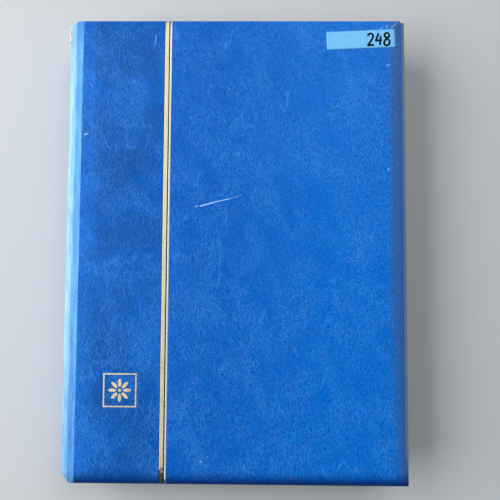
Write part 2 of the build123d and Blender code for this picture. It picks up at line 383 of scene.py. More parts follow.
# %% [markdown]
# ## Leather grain
# Leatherette is a plastic skin on a cloth backing, pressed with a calf grain: pebbles about a millimetre
# across, parted by fine creases that run mostly from head to tail. A Voronoi texture gives the creases, as
# the distance to the nearest cell's edge. Its space is squeezed along Y to lengthen the cells, and pushed
# about by noise so that no crease is straight. A slower noise makes the creases deep in some places and
# faint in others, as pressing and handling leave them. The grain also has a lean: short fine streaks that
# slant one way, and in some patches the other, and a few longer folds where the skin was once bent.

# %% The grain group
grain_group, inside, outside = new_group(
    "leather_grain",
    [("Place", VECTOR, None), ("Pebble", FLOAT, 1.2 * MM), ("Crease", FLOAT, 0.8)],
    [("Height", FLOAT), ("Creases", FLOAT), ("Streaks", FLOAT), ("Mottle", FLOAT), ("Cloud", FLOAT)],
)
tree = grain_group
squeezed = add_node(
    tree, "ShaderNodeVectorMath", {0: inside.outputs["Place"], 1: (1.0, 0.5, 1.0)}, operation="MULTIPLY"
)
warp = add_node(tree, "ShaderNodeTexNoise", {"Vector": squeezed.outputs[0], "Scale": 260.0, "Detail": 2.0})
warp_half = add_node(
    tree, "ShaderNodeVectorMath", {0: warp.outputs["Color"], 1: (0.5, 0.5, 0.5)}, operation="SUBTRACT"
)
warp_small = add_node(
    tree, "ShaderNodeVectorMath", {0: warp_half.outputs[0], "Scale": 3.4 * MM}, operation="SCALE"
)
warped = add_node(
    tree, "ShaderNodeVectorMath", {0: squeezed.outputs[0], 1: warp_small.outputs[0]}, operation="ADD"
)
per_metre = math_node(tree, "DIVIDE", 1.0, inside.outputs["Pebble"])
cells = add_node(
    tree, "ShaderNodeTexVoronoi", {
        "Vector": warped.outputs[0], "Scale": per_metre
    }, feature="DISTANCE_TO_EDGE"
)
crease_line = step_node(tree, cells.outputs["Distance"], 0.0, 0.20, 1.0, 0.0)
presence = step_node(tree, noise_node(tree, inside.outputs["Place"], 13 * MM, 3.0), 0.38, 0.64, 0.15, 1.0)
creases = math_node(
    tree, "MULTIPLY", math_node(tree, "MULTIPLY", crease_line, presence), inside.outputs["Crease"]
)
pebbles = step_node(tree, cells.outputs["Distance"], 0.0, 0.45)
fine = noise_node(tree, inside.outputs["Place"], 0.45 * MM, 2.0)
height = math_node(
    tree, "ADD", math_node(tree, "MULTIPLY", pebbles, 0.35), math_node(tree, "MULTIPLY", fine, 0.40)
)
height = math_node(tree, "SUBTRACT", height, math_node(tree, "MULTIPLY", creases, 0.55))
tree.links.new(height, outside.inputs["Height"])
tree.links.new(creases, outside.inputs["Creases"])


def slanted(tree, vector, degrees, stretch):
    """The same place in a space turned about Z and drawn out along its own Y."""
    inputs = {"Vector": vector, "Rotation": (0, 0, math.radians(degrees)), "Scale": (1.0, stretch, 1.0)}
    return add_node(tree, "ShaderNodeMapping", inputs, vector_type="TEXTURE").outputs[0]


def thin_lines(tree, vector, size):
    """Fine lines where a noise passes through its middle value."""
    off_middle = math_node(tree, "SUBTRACT", noise_node(tree, vector, size, 2.0, 0.6), 0.5)
    return step_node(tree, math_node(tree, "ABSOLUTE", off_middle), 0.0, 0.05, 1.0, 0.0)


left_lean = slanted(tree, inside.outputs["Place"], 22, 3.2)
right_lean = slanted(tree, inside.outputs["Place"], -38, 3.2)
where_left = step_node(tree, noise_node(tree, inside.outputs["Place"], 24 * MM, 2.0), 0.36, 0.60, 0.25, 1.0)
where_right = step_node(tree, noise_node(tree, left_lean, 17 * MM, 2.0), 0.50, 0.68, 0.0, 1.0)
streaks = math_node(tree, "MULTIPLY", thin_lines(tree, left_lean, 1.5 * MM), where_left)
crossing = math_node(tree, "MULTIPLY", thin_lines(tree, right_lean, 1.5 * MM), where_right)
streaks = math_node(tree, "MAXIMUM", streaks, crossing)
fold_place = add_node(
    tree, "ShaderNodeVectorMath", {0: warped.outputs[0], 1: (1.0, 0.62, 1.0)}, operation="MULTIPLY"
)
folds = add_node(
    tree, "ShaderNodeTexVoronoi", {
        "Vector": fold_place.outputs[0], "Scale": 1 / (8.5 * MM)
    }, feature="DISTANCE_TO_EDGE"
)
fold_line = step_node(tree, folds.outputs["Distance"], 0.0, 0.05, 1.0, 0.0)
where_folds = step_node(tree, noise_node(tree, inside.outputs["Place"], 19 * MM, 3.0), 0.50, 0.66, 0.0, 0.9)
streaks = math_node(tree, "MAXIMUM", streaks, math_node(tree, "MULTIPLY", fold_line, where_folds))
tree.links.new(streaks, outside.inputs["Streaks"])
tree.links.new(
    noise_node(tree, slanted(tree, inside.outputs["Place"], 22, 1.7), 1.0 * MM, 3.0, 0.75),
    outside.inputs["Mottle"]
)
tree.links.new(noise_node(tree, inside.outputs["Place"], 38 * MM, 3.0, 0.6), outside.inputs["Cloud"])

# %% [markdown]
# ## Scratches and scuffs
# An old album has been pushed in and out of a shelf. Each scratch is a short line where the blue film is cut
# and its white backing shows. The distance from a point to a line is a known formula, so a scratch is a soft
# step on that distance, roughened with noise so that the line breaks up. One group serves every mark.

# %% The scratch group
scratch_group, inside, outside = new_group(
    "scratch",
    [("Place", VECTOR, None), ("Start", VECTOR, None), ("End", VECTOR, None), ("Width", FLOAT, 0.3 * MM),
     ("Raggedness", FLOAT, 0.5)],
    [("Mask", FLOAT)],
)
tree = scratch_group


def vector_math(tree, operation, first, second):
    """One sum on two vectors."""
    return add_node(tree, "ShaderNodeVectorMath", {0: first, 1: second}, operation=operation)


flat_place = vector_math(tree, "MULTIPLY", inside.outputs["Place"], (1.0, 1.0, 0.0)).outputs[0]
from_start = vector_math(tree, "SUBTRACT", flat_place, inside.outputs["Start"]).outputs[0]
along = vector_math(tree, "SUBTRACT", inside.outputs["End"], inside.outputs["Start"]).outputs[0]
reach = vector_math(tree, "DOT_PRODUCT", from_start, along).outputs["Value"]
length_squared = vector_math(tree, "DOT_PRODUCT", along, along).outputs["Value"]
share = math_node(tree, "DIVIDE", reach, length_squared, clamp=True)
nearest = add_node(tree, "ShaderNodeVectorMath", {0: along, "Scale": share}, operation="SCALE").outputs[0]
away = vector_math(tree, "SUBTRACT", from_start, nearest).outputs[0]
distance = add_node(tree, "ShaderNodeVectorMath", {0: away}, operation="LENGTH").outputs["Value"]
rough_edge = noise_node(tree, inside.outputs["Place"], 0.9 * MM, 3.0, 0.7)
rough_edge = math_node(
    tree, "MULTIPLY", math_node(tree, "SUBTRACT", rough_edge, 0.35), inside.outputs["Raggedness"]
)
relative = math_node(tree, "ADD", math_node(tree, "DIVIDE", distance, inside.outputs["Width"]), rough_edge)
tree.links.new(step_node(tree, relative, 0.35, 1.05, 1.0, 0.0), outside.inputs["Mask"])

# %% [markdown]
# ## Dust
# Fine dust and tiny flecks lie on every surface of a used book. They are sparse bright points: noise of a
# small size, kept only where it rises near its top.

# %% The dust group
dust_group, inside, outside = new_group(
    "dust", [("Place", VECTOR, None), ("Size", FLOAT, 0.8 * MM), ("Amount", FLOAT, 0.5)], [("Mask", FLOAT)]
)
tree = dust_group
speck_scale = math_node(tree, "DIVIDE", 1.0, inside.outputs["Size"])
specks = add_node(
    tree, "ShaderNodeTexNoise", {"Vector": inside.outputs["Place"], "Scale": speck_scale, "Detail": 3.0}
)
threshold = math_node(tree, "SUBTRACT", 0.86, math_node(tree, "MULTIPLY", inside.outputs["Amount"], 0.2))
over = math_node(tree, "SUBTRACT", specks.outputs["Fac"], threshold)
tree.links.new(math_node(tree, "MULTIPLY", over, 14.0, clamp=True), outside.inputs["Mask"])

# %% [markdown]
# ## The blue leatherette
# The skin is a bright blue with a soft sheen, and cloudy all over. Painted light lies in its colour: it is
# painted lighter towards the right of the cover, with a patchy painted shade on the left of the panel, a band
# of painted light beside the joint, a painted highlight on the joint's shoulder, streaked like rubbing, and
# painted shade on the fore-edge and tail rolls. On the front the foil lines get painted shade in and beside
# them. A pale line runs along the fore-edge's last millimetres. The grain's creases are darker in relief,
# and a painted highlight lies along them. Wear shows as pale marks: one long scratch across the front, scuffs
# along the edges, and rubbed corners. The front's marks are listed in millimetres, as start, end, width and
# strength. The bands and marks read Object coordinates.

# %% Leatherette
FRONT_MARKS = [
    ((-23.6, 26.9), (-16.0, 28.9), 0.62, 1.0),
    ((-17.0, 28.9), (-4.5, 31.8), 0.50, 0.95),
    ((-5.5, 31.4), (3.6, 34.2), 0.34, 0.45),
    ((-26.8, 26.3), (-24.8, 27.1), 0.50, 0.8),
    ((-55.0, 135.9), (-54.6, 142.4), 0.7, 0.35),
    ((-101.2, 74.6), (-99.6, 75.2), 0.9, 0.75),
    ((100.4, 121.6), (101.6, 122.6), 0.8, 0.5),
    ((100.3, 51.6), (100.7, 52.2), 0.8, 0.7),
    ((-21.4, -138.3), (-21.2, -138.1), 0.9, 0.6),
    ((-17.0, -135.4), (-16.8, -135.2), 0.7, 0.3),
    ((90.6, 146.4), (91.4, 146.8), 0.6, 0.45),
    ((96.2, 146.8), (97.4, 148.0), 0.6, 0.55),
    ((100.3, 147.8), (100.7, 149.3), 0.6, 0.50),
    ((103.0, 147.2), (104.6, 149.0), 0.5, 0.45),
    ((104.9, 149.2), (106.6, 151.3), 0.5, 0.40),
]
FRONT_BARE = [((110.5, 152.3), (112.2, 152.8), 1.1, 1.0)]
BACK_BARE = [((111.2, -152.6), (112.4, -151.9), 1.2, 1.0)]
BACK_MARKS = [
    ((-12.0, 60.0), (31.0, 48.0), 0.5, 0.7),
    ((52.0, -96.0), (57.0, -118.0), 0.6, 0.5),
    ((-70.0, -30.0), (-66.0, -21.0), 0.8, 0.4),
    ((-40.0, 120.0), (-38.5, 121.0), 1.0, 0.5),
]
# Several of these colours are painted light and shade: the lit right side, the panel's shade, the light
# beside the joint, the crease and joint highlights, the shaded fore-edge and tail rolls and the shade at the
# foil lines.
BLUE = (0.0002, 0.125, 0.57, 1.0)
LIT_RIGHT_BLUE = (0.0002, 0.205, 0.80, 1.0)
CLOUD_AND_JOINT_LIGHT_BLUE = (0.014, 0.200, 0.78, 1.0)
PANEL_SHADE_BLUE = (0.003, 0.075, 0.22, 1.0)
CREASE_HIGHLIGHT_BLUE = (0.020, 0.260, 0.90, 1.0)
STREAK_BLUE = (0.075, 0.350, 0.88, 1.0)
PIT_BLUE = (0.0005, 0.055, 0.34, 1.0)
JOINT_HIGHLIGHT_BLUE = (0.20, 0.56, 0.97, 1.0)
FORE_EDGE_SHADE_BLUE = (0.045, 0.130, 0.34, 1.0)
TAIL_SHADE_BLUE = (0.0005, 0.022, 0.16, 1.0)
PALE_EDGE_LINE = (0.20, 0.29, 0.42, 1.0)
SHOULDER_HIGHLIGHT_BLUE = (0.55, 0.88, 0.99, 1.0)
SCUFF = (0.38, 0.66, 0.95, 1.0)
BARE_BACKING = (0.84, 0.84, 0.80, 1.0)
FOIL_GAP_SHADE_BLUE = (0.004, 0.012, 0.03, 1.0)     # painted shade in and beside the foil lines


def marks_mask(tree, place, marks):
    """One mask of many scratches, each as strong as its last number."""
    mask = None
    for start, end, width, strength in marks:
        inputs = {
            "Place": place, "Start": (start[0] * MM, start[1] * MM, 0), "End": (end[0] * MM, end[1] * MM, 0)
        }
        mark = place_group(tree, scratch_group, inputs | {"Width": width * MM, "Raggedness": 0.7})
        mark = math_node(tree, "MULTIPLY", mark.outputs["Mask"], strength)
        mask = mark if mask is None else math_node(tree, "MAXIMUM", mask, mark)
    return mask


def make_leatherette(name, marks, bare_marks, stamped):
    """Blue grained leatherette with its own marks and painted light and shade. A stamped one gets painted
    shade in and beside the foil lines.
    """
    material, tree, shader, place = new_material(name)
    grain = place_group(tree, grain_group, {"Place": place, "Pebble": 1.35 * MM, "Crease": 0.9})
    parts = add_node(tree, "ShaderNodeSeparateXYZ", {0: place})
    cloud = step_node(tree, grain.outputs["Cloud"], 0.38, 0.66)
    joint_side_light = step_node(tree, parts.outputs["X"], -101 * MM, -88 * MM, 1.0, 0.0)
    on_panel = step_node(tree, parts.outputs["X"], -60 * MM, -40 * MM, 1.0, 0.0)
    # Painted light: the cover is painted lighter and clearer towards the right, as if lit more strongly
    # there.
    painted_light_to_right = step_node(tree, parts.outputs["X"], -30 * MM, 85 * MM, 0.0, 0.75)
    colour = mix_colours(tree, painted_light_to_right, BLUE, LIT_RIGHT_BLUE)
    # The cloud mix is the skin's own uneven tone.
    colour = mix_colours(tree, math_node(tree, "MULTIPLY", cloud, 0.16), colour, CLOUD_AND_JOINT_LIGHT_BLUE)
    # Painted shade: a patchy darker grey-blue over the left of the panel.
    painted_panel_shade = math_node(tree, "MULTIPLY", on_panel, math_node(tree, "SUBTRACT", 1.0, cloud))
    colour = mix_colours(tree, math_node(tree, "MULTIPLY", painted_panel_shade, 0.55), colour, PANEL_SHADE_BLUE)
    # Painted light: a lighter band beside the joint, where the skin rolls towards the window.
    colour = mix_colours(tree, math_node(tree, "MULTIPLY", joint_side_light, 0.55), colour, CLOUD_AND_JOINT_LIGHT_BLUE)
    pits = step_node(tree, grain.outputs["Mottle"], 0.38, 0.58, 0.62, 0.0)
    colour = mix_colours(tree, pits, colour, PIT_BLUE)
    # Painted highlight: the grain's crease lines are mixed towards a lighter blue.
    colour = mix_colours(
        tree, math_node(tree, "MULTIPLY", grain.outputs["Creases"], 0.20), colour, CREASE_HIGHLIGHT_BLUE
    )
    low_down = math_node(tree, "ABSOLUTE", math_node(tree, "SUBTRACT", parts.outputs["Z"], THICKNESS / 2))
    streak_share = step_node(tree, low_down, THICKNESS / 2 - 9 * MM, THICKNESS / 2 - 3 * MM, 0.12, 0.42)
    colour = mix_colours(
        tree, math_node(tree, "MULTIPLY", grain.outputs["Streaks"], streak_share), colour, STREAK_BLUE
    )
    # Painted shade: the fore-edge roll, which turns away from the light, is painted darker slate blue.
    below = math_node(tree, "MINIMUM", math_node(tree, "ADD", parts.outputs["Y"], 20 * MM), 0.0)
    slipped_x = math_node(tree, "ADD", parts.outputs["X"], math_node(tree, "MULTIPLY", below, 0.03))
    fore_edge_shade = step_node(tree, slipped_x, FORE_EDGE - 15 * MM, FORE_EDGE - 5.5 * MM, 0.0, 0.78)
    colour = mix_colours(tree, fore_edge_shade, colour, FORE_EDGE_SHADE_BLUE)
    # Painted shade: the tail roll, curving down away from the light, is painted nearly black-blue.
    tail_shade = step_node(
        tree, parts.outputs["Y"], -HALF_HEIGHT + 0.5 * MM, -HALF_HEIGHT + 10.5 * MM, 0.95, 0.0
    )
    colour = mix_colours(tree, tail_shade, colour, TAIL_SHADE_BLUE)
    # A pale grey-blue line along the fore-edge's last millimetres, kept off the tail end.
    at_edge = step_node(tree, parts.outputs["X"], FORE_EDGE - 2.6 * MM, FORE_EDGE - 1.2 * MM, 0.0, 0.9)
    off_tail = step_node(tree, parts.outputs["Y"], -HALF_HEIGHT + 6 * MM, -HALF_HEIGHT + 25 * MM)
    colour = mix_colours(tree, math_node(tree, "MULTIPLY", at_edge, off_tail), colour, PALE_EDGE_LINE)
    # Painted highlight of the window on the joint's shoulder, partly rubbed wear: pale cyan in streaks,
    # palest on the outermost part of the shoulder.
    at_joint = step_node(tree, parts.outputs["X"], PLATEAU_LEFT - 0.4 * MM, PLATEAU_LEFT + 0.1 * MM, 1.0, 0.0)
    on_shoulder = step_node(tree, low_down, THICKNESS / 2 - 9 * MM, THICKNESS / 2 - 4 * MM, 0.12, 0.85)
    streak_place = add_node(
        tree, "ShaderNodeMapping", {"Vector": place, "Scale": (1.0, 0.06, 1.0)}
    ).outputs[0]
    streaks = step_node(tree, noise_node(tree, streak_place, 1.3 * MM, 3.0), 0.30, 0.70, 0.55, 1.0)
    end_fade = step_node(tree, parts.outputs["Y"], -HALF_HEIGHT, -20 * MM, 0.55, 1.0)
    head_fade = step_node(tree, parts.outputs["Y"], HALF_HEIGHT - 26 * MM, HALF_HEIGHT - 8 * MM, 1.0, 0.62)
    end_fade = math_node(tree, "MULTIPLY", end_fade, head_fade)
    joint_highlight = math_node(tree, "MULTIPLY", math_node(tree, "MULTIPLY", at_joint, on_shoulder), streaks)
    colour = mix_colours(tree, math_node(tree, "MULTIPLY", joint_highlight, end_fade), colour, JOINT_HIGHLIGHT_BLUE)
    outermost = step_node(tree, parts.outputs["X"], SPINE_FACE + 2.8 * MM, SPINE_FACE + 5.4 * MM, 0.8, 0.0)
    outermost = math_node(tree, "MULTIPLY", math_node(tree, "MULTIPLY", joint_highlight, end_fade), outermost)
    colour = mix_colours(tree, outermost, colour, SHOULDER_HIGHLIGHT_BLUE)
    # Painted shade: the band of the stamped foil lines, with its gap, is painted nearly black.
    if stamped:
        off_middle = math_node(
            tree, "ABSOLUTE", math_node(tree, "SUBTRACT", parts.outputs["X"], LINES_MIDDLE)
        )
        stamped_band = step_node(tree, off_middle, LINES_HALF, LINES_HALF + 0.35 * MM, 1.0, 0.0)
        from_middle = math_node(tree, "ABSOLUTE", parts.outputs["Y"])
        on_top = step_node(tree, from_middle, HALF_HEIGHT - 1.1 * MM, HALF_HEIGHT - 0.5 * MM, 1.0, 0.0)
        stamped_band = math_node(tree, "MULTIPLY", stamped_band, on_top)
        colour = mix_colours(
            tree, math_node(tree, "MULTIPLY", stamped_band, 0.88), colour, FOIL_GAP_SHADE_BLUE
        )
    scuffed = marks_mask(tree, place, marks)
    dust = place_group(tree, dust_group, {"Place": place, "Size": 0.9 * MM, "Amount": 0.35})
    scuffed = math_node(tree, "MAXIMUM", scuffed, math_node(tree, "MULTIPLY", dust.outputs["Mask"], 0.35))
    colour = mix_colours(tree, scuffed, colour, SCUFF)
    colour = mix_colours(tree, marks_mask(tree, place, bare_marks), colour, BARE_BACKING)
    tree.links.new(colour, shader.inputs["Base Color"])
    gloss = math_node(tree, "ADD", 0.25, math_node(tree, "MULTIPLY", grain.outputs["Height"], 0.10))
    gloss = math_node(tree, "ADD", gloss, math_node(tree, "MULTIPLY", scuffed, 0.25))
    tree.links.new(gloss, shader.inputs["Roughness"])
    shader.inputs["Specular IOR Level"].default_value = 0.10
    add_bump(tree, shader, grain.outputs["Height"], 0.24 * MM)
    return material


# %% [markdown]
# ## The shape of a padded cover
# A cover is a board with a foam sheet on it, and leatherette drawn over both and glued down inside. Foam
# under a tight skin stays flat in the middle and rolls down at the edges: slowly at the fore-edge, faster at
# head and tail, and in a tight lip beside the joint. All of this is one function of place, the depth of the
# skin below the cover's outer plane, so the skin, the foam, the foil and the label can all follow it.
#
# The flat is not quite flat either: the foam pushes the skin up between the places that hold it, which are
# the glued edges and the stamped lines. That swell is simulated: a coarse net is held there and blown up as
# cloth with a little pressure, and its rise, kept under half a millimetre, is added to the function. Only
# the front has it, because the album's own weight presses the back cover flat on the table.

# %% Depth of the cover's surface
PLATEAU_LEFT = GROOVE + JOINT_ROLL
PLATEAU_RIGHT = FORE_EDGE - FORE_ROLL
foil_low, foil_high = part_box("gold_foil")
label_low, label_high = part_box("index_label")
WIDE_LINE = 2.6 * MM
LINE_SPACE = 0.8 * MM
THIN_LINE = 1.1 * MM
LINES_RIGHT = foil_high.x
LINES_LEFT = LINES_RIGHT - THIN_LINE - LINE_SPACE - WIDE_LINE
LINES_MIDDLE = (LINES_LEFT + LINES_RIGHT) / 2
LINES_HALF = (LINES_RIGHT - LINES_LEFT) / 2
ORNAMENT_SIZE = 21.7 * MM
ORNAMENT_LINE = 0.85 * MM
ORNAMENT_CENTRE = (foil_low.x + ORNAMENT_SIZE / 2, 60.1 * MM - HALF_HEIGHT)
STAMP_DEPTH = 0.28 * MM


def roll(distance_in, width, drop):
    """How far a rolled edge has fallen, distance_in metres from where it starts."""
    t = np.clip(distance_in / width, 0, 1)
    return drop * (1 - np.sqrt(1 - t * t))


def soft_step(value, low, high):
    """0 below low, 1 above high, and smooth between."""
    t = np.clip((value - low) / (high - low), 0, 1)
    return t * t * (3 - 2 * t)


def soft_maximum(a, b, softness=0.5 * MM):
    """The larger of two depths, with a rounded crease between them."""
    return 0.5 * (a + b + np.sqrt((a - b) ** 2 + softness**2) - softness)


def puff(x, y):
    """The foam's gentle unevenness, as small slow waves."""
    wave = np.sin(31 * x + 0.7) * np.cos(23 * y - 0.4) + 0.7 * np.sin(57 * x - 41 * y + 1.9)
    wave += 0.5 * np.cos(88 * y + 27 * x) + 0.35 * np.sin(140 * x + 60 * y + 0.5)
    return 0.045 * MM * (wave - 2.5)


def simulate_swell():
    """Blow up a net held at the front's edges and foil lines. Returns where it rises, and how far."""
    edge = FORE_EDGE - 2 * MM
    spans = [
        (PLATEAU_LEFT, LINES_LEFT, 4 * MM), (LINES_LEFT, LINES_RIGHT, 2.3 * MM), (LINES_RIGHT, edge, 4 * MM)
    ]
    x = graded(*spans)
    y = graded((-HALF_HEIGHT + 1.5 * MM, HALF_HEIGHT - 1.5 * MM, 4 * MM))
    grid_x, grid_y = np.meshgrid(x, y)
    net = [np.stack([grid_x, grid_y, np.full_like(grid_x, depth)], axis=2) for depth in (0.0, 6 * MM)]
    blown = closed_slab("swell_net", net, True)
    free = np.zeros((2, len(y), len(x)), bool)
    free[0, 1:-1, 1:-1] = True
    free[0][:, (x > LINES_LEFT - 1e-6) & (x < LINES_RIGHT + 1e-6)] = False
    pins = blown.vertex_groups.new(name="held")
    pins.add(np.flatnonzero(~free.ravel()).tolist(), 1.0, "REPLACE")
    cloth = blown.modifiers.new("cloth", "CLOTH")
    settings = cloth.settings
    settings.vertex_group_mass = "held"
    settings.quality = 4
    settings.tension_stiffness = 60
    settings.compression_stiffness = 60
    settings.bending_stiffness = 4
    settings.use_pressure = True
    settings.uniform_pressure_force = 1.2
    settings.effector_weights.gravity = 0
    scene = bpy.context.scene
    for step in range(1, 13):
        scene.frame_set(step)
        evaluated = blown.evaluated_get(bpy.context.evaluated_depsgraph_get())
    places = np.array([v.co for v in evaluated.data.vertices])[: len(x) * len(y)]
    rise = places[:, 2].reshape(len(y), len(x)) - THICKNESS
    bpy.data.objects.remove(blown)
    scene.frame_set(1)
    print("the net rose by", round(1000 * float(rise.max()), 2), "mm")
    return x, y, SWELL_CAP * np.tanh(np.maximum(rise, 0) / SWELL_CAP)


def field_at(field, x, y):
    """The height of a simulated field at any place, straight between its points."""
    field_x, field_y, values = field
    inside_x = np.clip(x, field_x[0], field_x[-1])
    inside_y = np.clip(y, field_y[0], field_y[-1])
    i = np.clip(np.searchsorted(field_x, inside_x) - 1, 0, len(field_x) - 2)
    j = np.clip(np.searchsorted(field_y, inside_y) - 1, 0, len(field_y) - 2)
    u = (inside_x - field_x[i]) / (field_x[i + 1] - field_x[i])
    v = (inside_y - field_y[j]) / (field_y[j + 1] - field_y[j])
    low = values[j, i] * (1 - u) + values[j, i + 1] * u
    high = values[j + 1, i] * (1 - u) + values[j + 1, i + 1] * u
    return low * (1 - v) + high * v


SWELL_CAP = 0.45 * MM
SWELL = simulate_swell()


def stamping(x, y):
    """How deep the hot die has pressed the skin, at the two lines and the ornament's frame."""
    wall = 0.25 * MM
    stamped_band = soft_step(x, LINES_LEFT - wall, LINES_LEFT) * soft_step(-x, -LINES_RIGHT - wall, -LINES_RIGHT)
    ridge = 1 - np.clip(np.abs(x - LINES_RIGHT + THIN_LINE + LINE_SPACE / 2) / (LINE_SPACE / 2), 0, 1)
    lines = stamped_band * (1 - 0.5 * ridge)
    off = np.maximum(np.abs(x - ORNAMENT_CENTRE[0]), np.abs(y - ORNAMENT_CENTRE[1]))
    middle = ORNAMENT_SIZE / 2 - ORNAMENT_LINE / 2
    frame_line = soft_step(-np.abs(off - middle), -ORNAMENT_LINE, -ORNAMENT_LINE / 2)
    return STAMP_DEPTH * np.maximum(lines, 0.7 * frame_line)


def cover_depth(x, y, stamped=True):
    """Depth of the skin below the outer plane, for points on the cover right of the groove."""
    depth = roll(x - PLATEAU_RIGHT, FORE_ROLL, PADDING_DROP)
    depth = depth + roll(PLATEAU_LEFT - x, JOINT_ROLL, JOINT_DROP)
    ends = roll(np.abs(y) - (HALF_HEIGHT - END_ROLL), END_ROLL, PADDING_DROP)
    depth = soft_maximum(depth, ends)
    flat = 1 - np.clip(depth / (1.2 * MM), 0, 1)
    depth = depth - puff(x, y) * flat
    if stamped:
        depth = depth - field_at(SWELL, x, y) * flat + stamping(x, y)
    return depth


print(
    "depth at the middle of the cover", round(1000 * float(cover_depth(np.array(0.0), np.array(0.0))), 3),
    "mm"
)

# %% [markdown]
# ## Cover skins
# One piece of leatherette runs from the fore-edge over the cover, down into the joint groove, up over the
# shoulder and down the spine, so each cover's skin here is one net of points as well, as far as the middle of
# the spine. Its columns follow the section of the book and its rows run from tail to head. They stand close
# together where something bends and far apart on the flat. Past the edges the net goes on in rings: down the
# edge of the board, round it, and 14 mm back on the inside. A bookbinder pastes that turn-in down.


# %% Columns and rows of the net
COARSE = 2.6 * MM
ornament_left = ORNAMENT_CENTRE[0] - ORNAMENT_SIZE / 2 - 0.5 * MM
ornament_right = ORNAMENT_CENTRE[0] + ORNAMENT_SIZE / 2 + 0.5 * MM
ornament_low = ORNAMENT_CENTRE[1] - ORNAMENT_SIZE / 2 - 0.5 * MM
ornament_high = ORNAMENT_CENTRE[1] + ORNAMENT_SIZE / 2 + 0.5 * MM
END_START = HALF_HEIGHT - END_ROLL


def cover_columns(stamped):
    """Places across the cover, from the groove to the start of the fore-edge's last millimetre."""
    spans = [(GROOVE, PLATEAU_LEFT, 0.22 * MM)]
    if stamped:
        spans += [(PLATEAU_LEFT, ornament_left, COARSE), (ornament_left, ornament_left + 2.2 * MM, 0.3 * MM)]
        spans += [(ornament_left + 2.2 * MM, ornament_right - 2.2 * MM, 1.8 * MM)]
        spans += [
            (ornament_right - 2.2 * MM, ornament_right, 0.3 * MM),
            (ornament_right, LINES_LEFT - 1 * MM, COARSE)
        ]
        spans += [
            (LINES_LEFT - 1 * MM, LINES_RIGHT + 1 * MM, 0.2 * MM),
            (LINES_RIGHT + 1 * MM, PLATEAU_RIGHT, COARSE)
        ]
    else:
        spans += [(PLATEAU_LEFT, PLATEAU_RIGHT, COARSE)]
    spans += [
        (PLATEAU_RIGHT, FORE_EDGE - 3 * MM, 0.8 * MM), (FORE_EDGE - 3 * MM, FORE_EDGE - 0.6 * MM, 0.3 * MM)
    ]
    spans += [
        (FORE_EDGE - 0.6 * MM, FORE_EDGE - 0.1 * MM, 0.1 * MM), (FORE_EDGE - 0.1 * MM, FORE_EDGE, 0.05 * MM)
    ]
    return graded(*spans)


def cover_rows(stamped):
    """Places from tail to head, close together at the rolled ends."""
    last = HALF_HEIGHT - 0.1 * MM
    ends = [(last, HALF_HEIGHT, 0.05 * MM)]
    head = [(END_START, HALF_HEIGHT - 2 * MM, 0.6 * MM), (HALF_HEIGHT - 2 * MM, last, 0.25 * MM)] + ends
    tail = [(-b, -a, step) for a, b, step in reversed(head)]
    middle = [(-END_START, ornament_low, COARSE), (ornament_low, ornament_low + 2.2 * MM, 0.3 * MM)]
    middle += [(ornament_low + 2.2 * MM, ornament_high - 2.2 * MM, 1.8 * MM)]
    middle += [(ornament_high - 2.2 * MM, ornament_high, 0.3 * MM), (ornament_high, END_START, COARSE)]
    return graded(*(tail + (middle if stamped else [(-END_START, END_START, COARSE)]) + head))


print("net of", len(cover_rows(True)), "rows and", len(cover_columns(True)), "columns on the front cover")

# %% [markdown]
# The section from the middle of the spine to the groove is a straight wall and a shoulder, which is a
# squared quarter of an ellipse. Near head and tail the skin there draws in: it has no board to hold its
# corners, so on a used album the spine's corners are rounded off, more at the tail, where the album stands.

# %% Spine and shoulder
SHOULDER_RISE = SHOULDER_DEPTH - JOINT_DROP
SHOULDER_REACH = GROOVE - SKIN_FACE
MID_SPINE = THICKNESS / 2
SHOULDER_FULLNESS = 0.66         # 1 is a quarter of an ellipse, less is squarer
CORNER_TAIL = 4.8 * MM
CORNER_HEAD = 1.8 * MM


def spine_section():
    """Points (x, depth) from the middle of the spine to just before the groove."""
    wall_depths = graded(
        (MID_SPINE, SHOULDER_DEPTH + 1 * MM, 1.6 * MM), (SHOULDER_DEPTH + 1 * MM, SHOULDER_DEPTH, 0.5 * MM)
    )
    wall = [(SKIN_FACE, d) for d in wall_depths]
    angles = np.radians(np.linspace(0, 90, 31))[1:-1]
    reach = SHOULDER_REACH * np.cos(angles) ** SHOULDER_FULLNESS
    rise = SHOULDER_RISE * np.sin(angles) ** SHOULDER_FULLNESS
    shoulder = list(zip(GROOVE - reach, SHOULDER_DEPTH - rise))
    return np.array(wall + shoulder)


def corner_cut(x, depth, head):
    """How much shorter the skin is at this place of the section, at one end."""
    out = soft_step(-x, 105.5 * MM, 112.5 * MM)
    down = 1 - 0.65 * soft_step(depth, 6 * MM, MID_SPINE)
    return np.where(head, CORNER_HEAD, CORNER_TAIL) * out**1.3 * down


# The rings past an edge: how far in from the edge, and how deep, on the cover and at the spine.
RING_INSET = np.array([0.0, 0.0, 0.0, 0.12, 0.45, 1.2, 5.0, 14.0]) * MM
RING_COVER = np.array([3.0, 3.9, 5.2, 5.75, 6.0, 6.0, 6.0, 6.0]) * MM
RING_SPINE = np.array([0.9, 1.3, 1.8, 2.3, 2.6, 2.6, 2.6, 2.6]) * MM
RINGS = len(RING_INSET) - 1
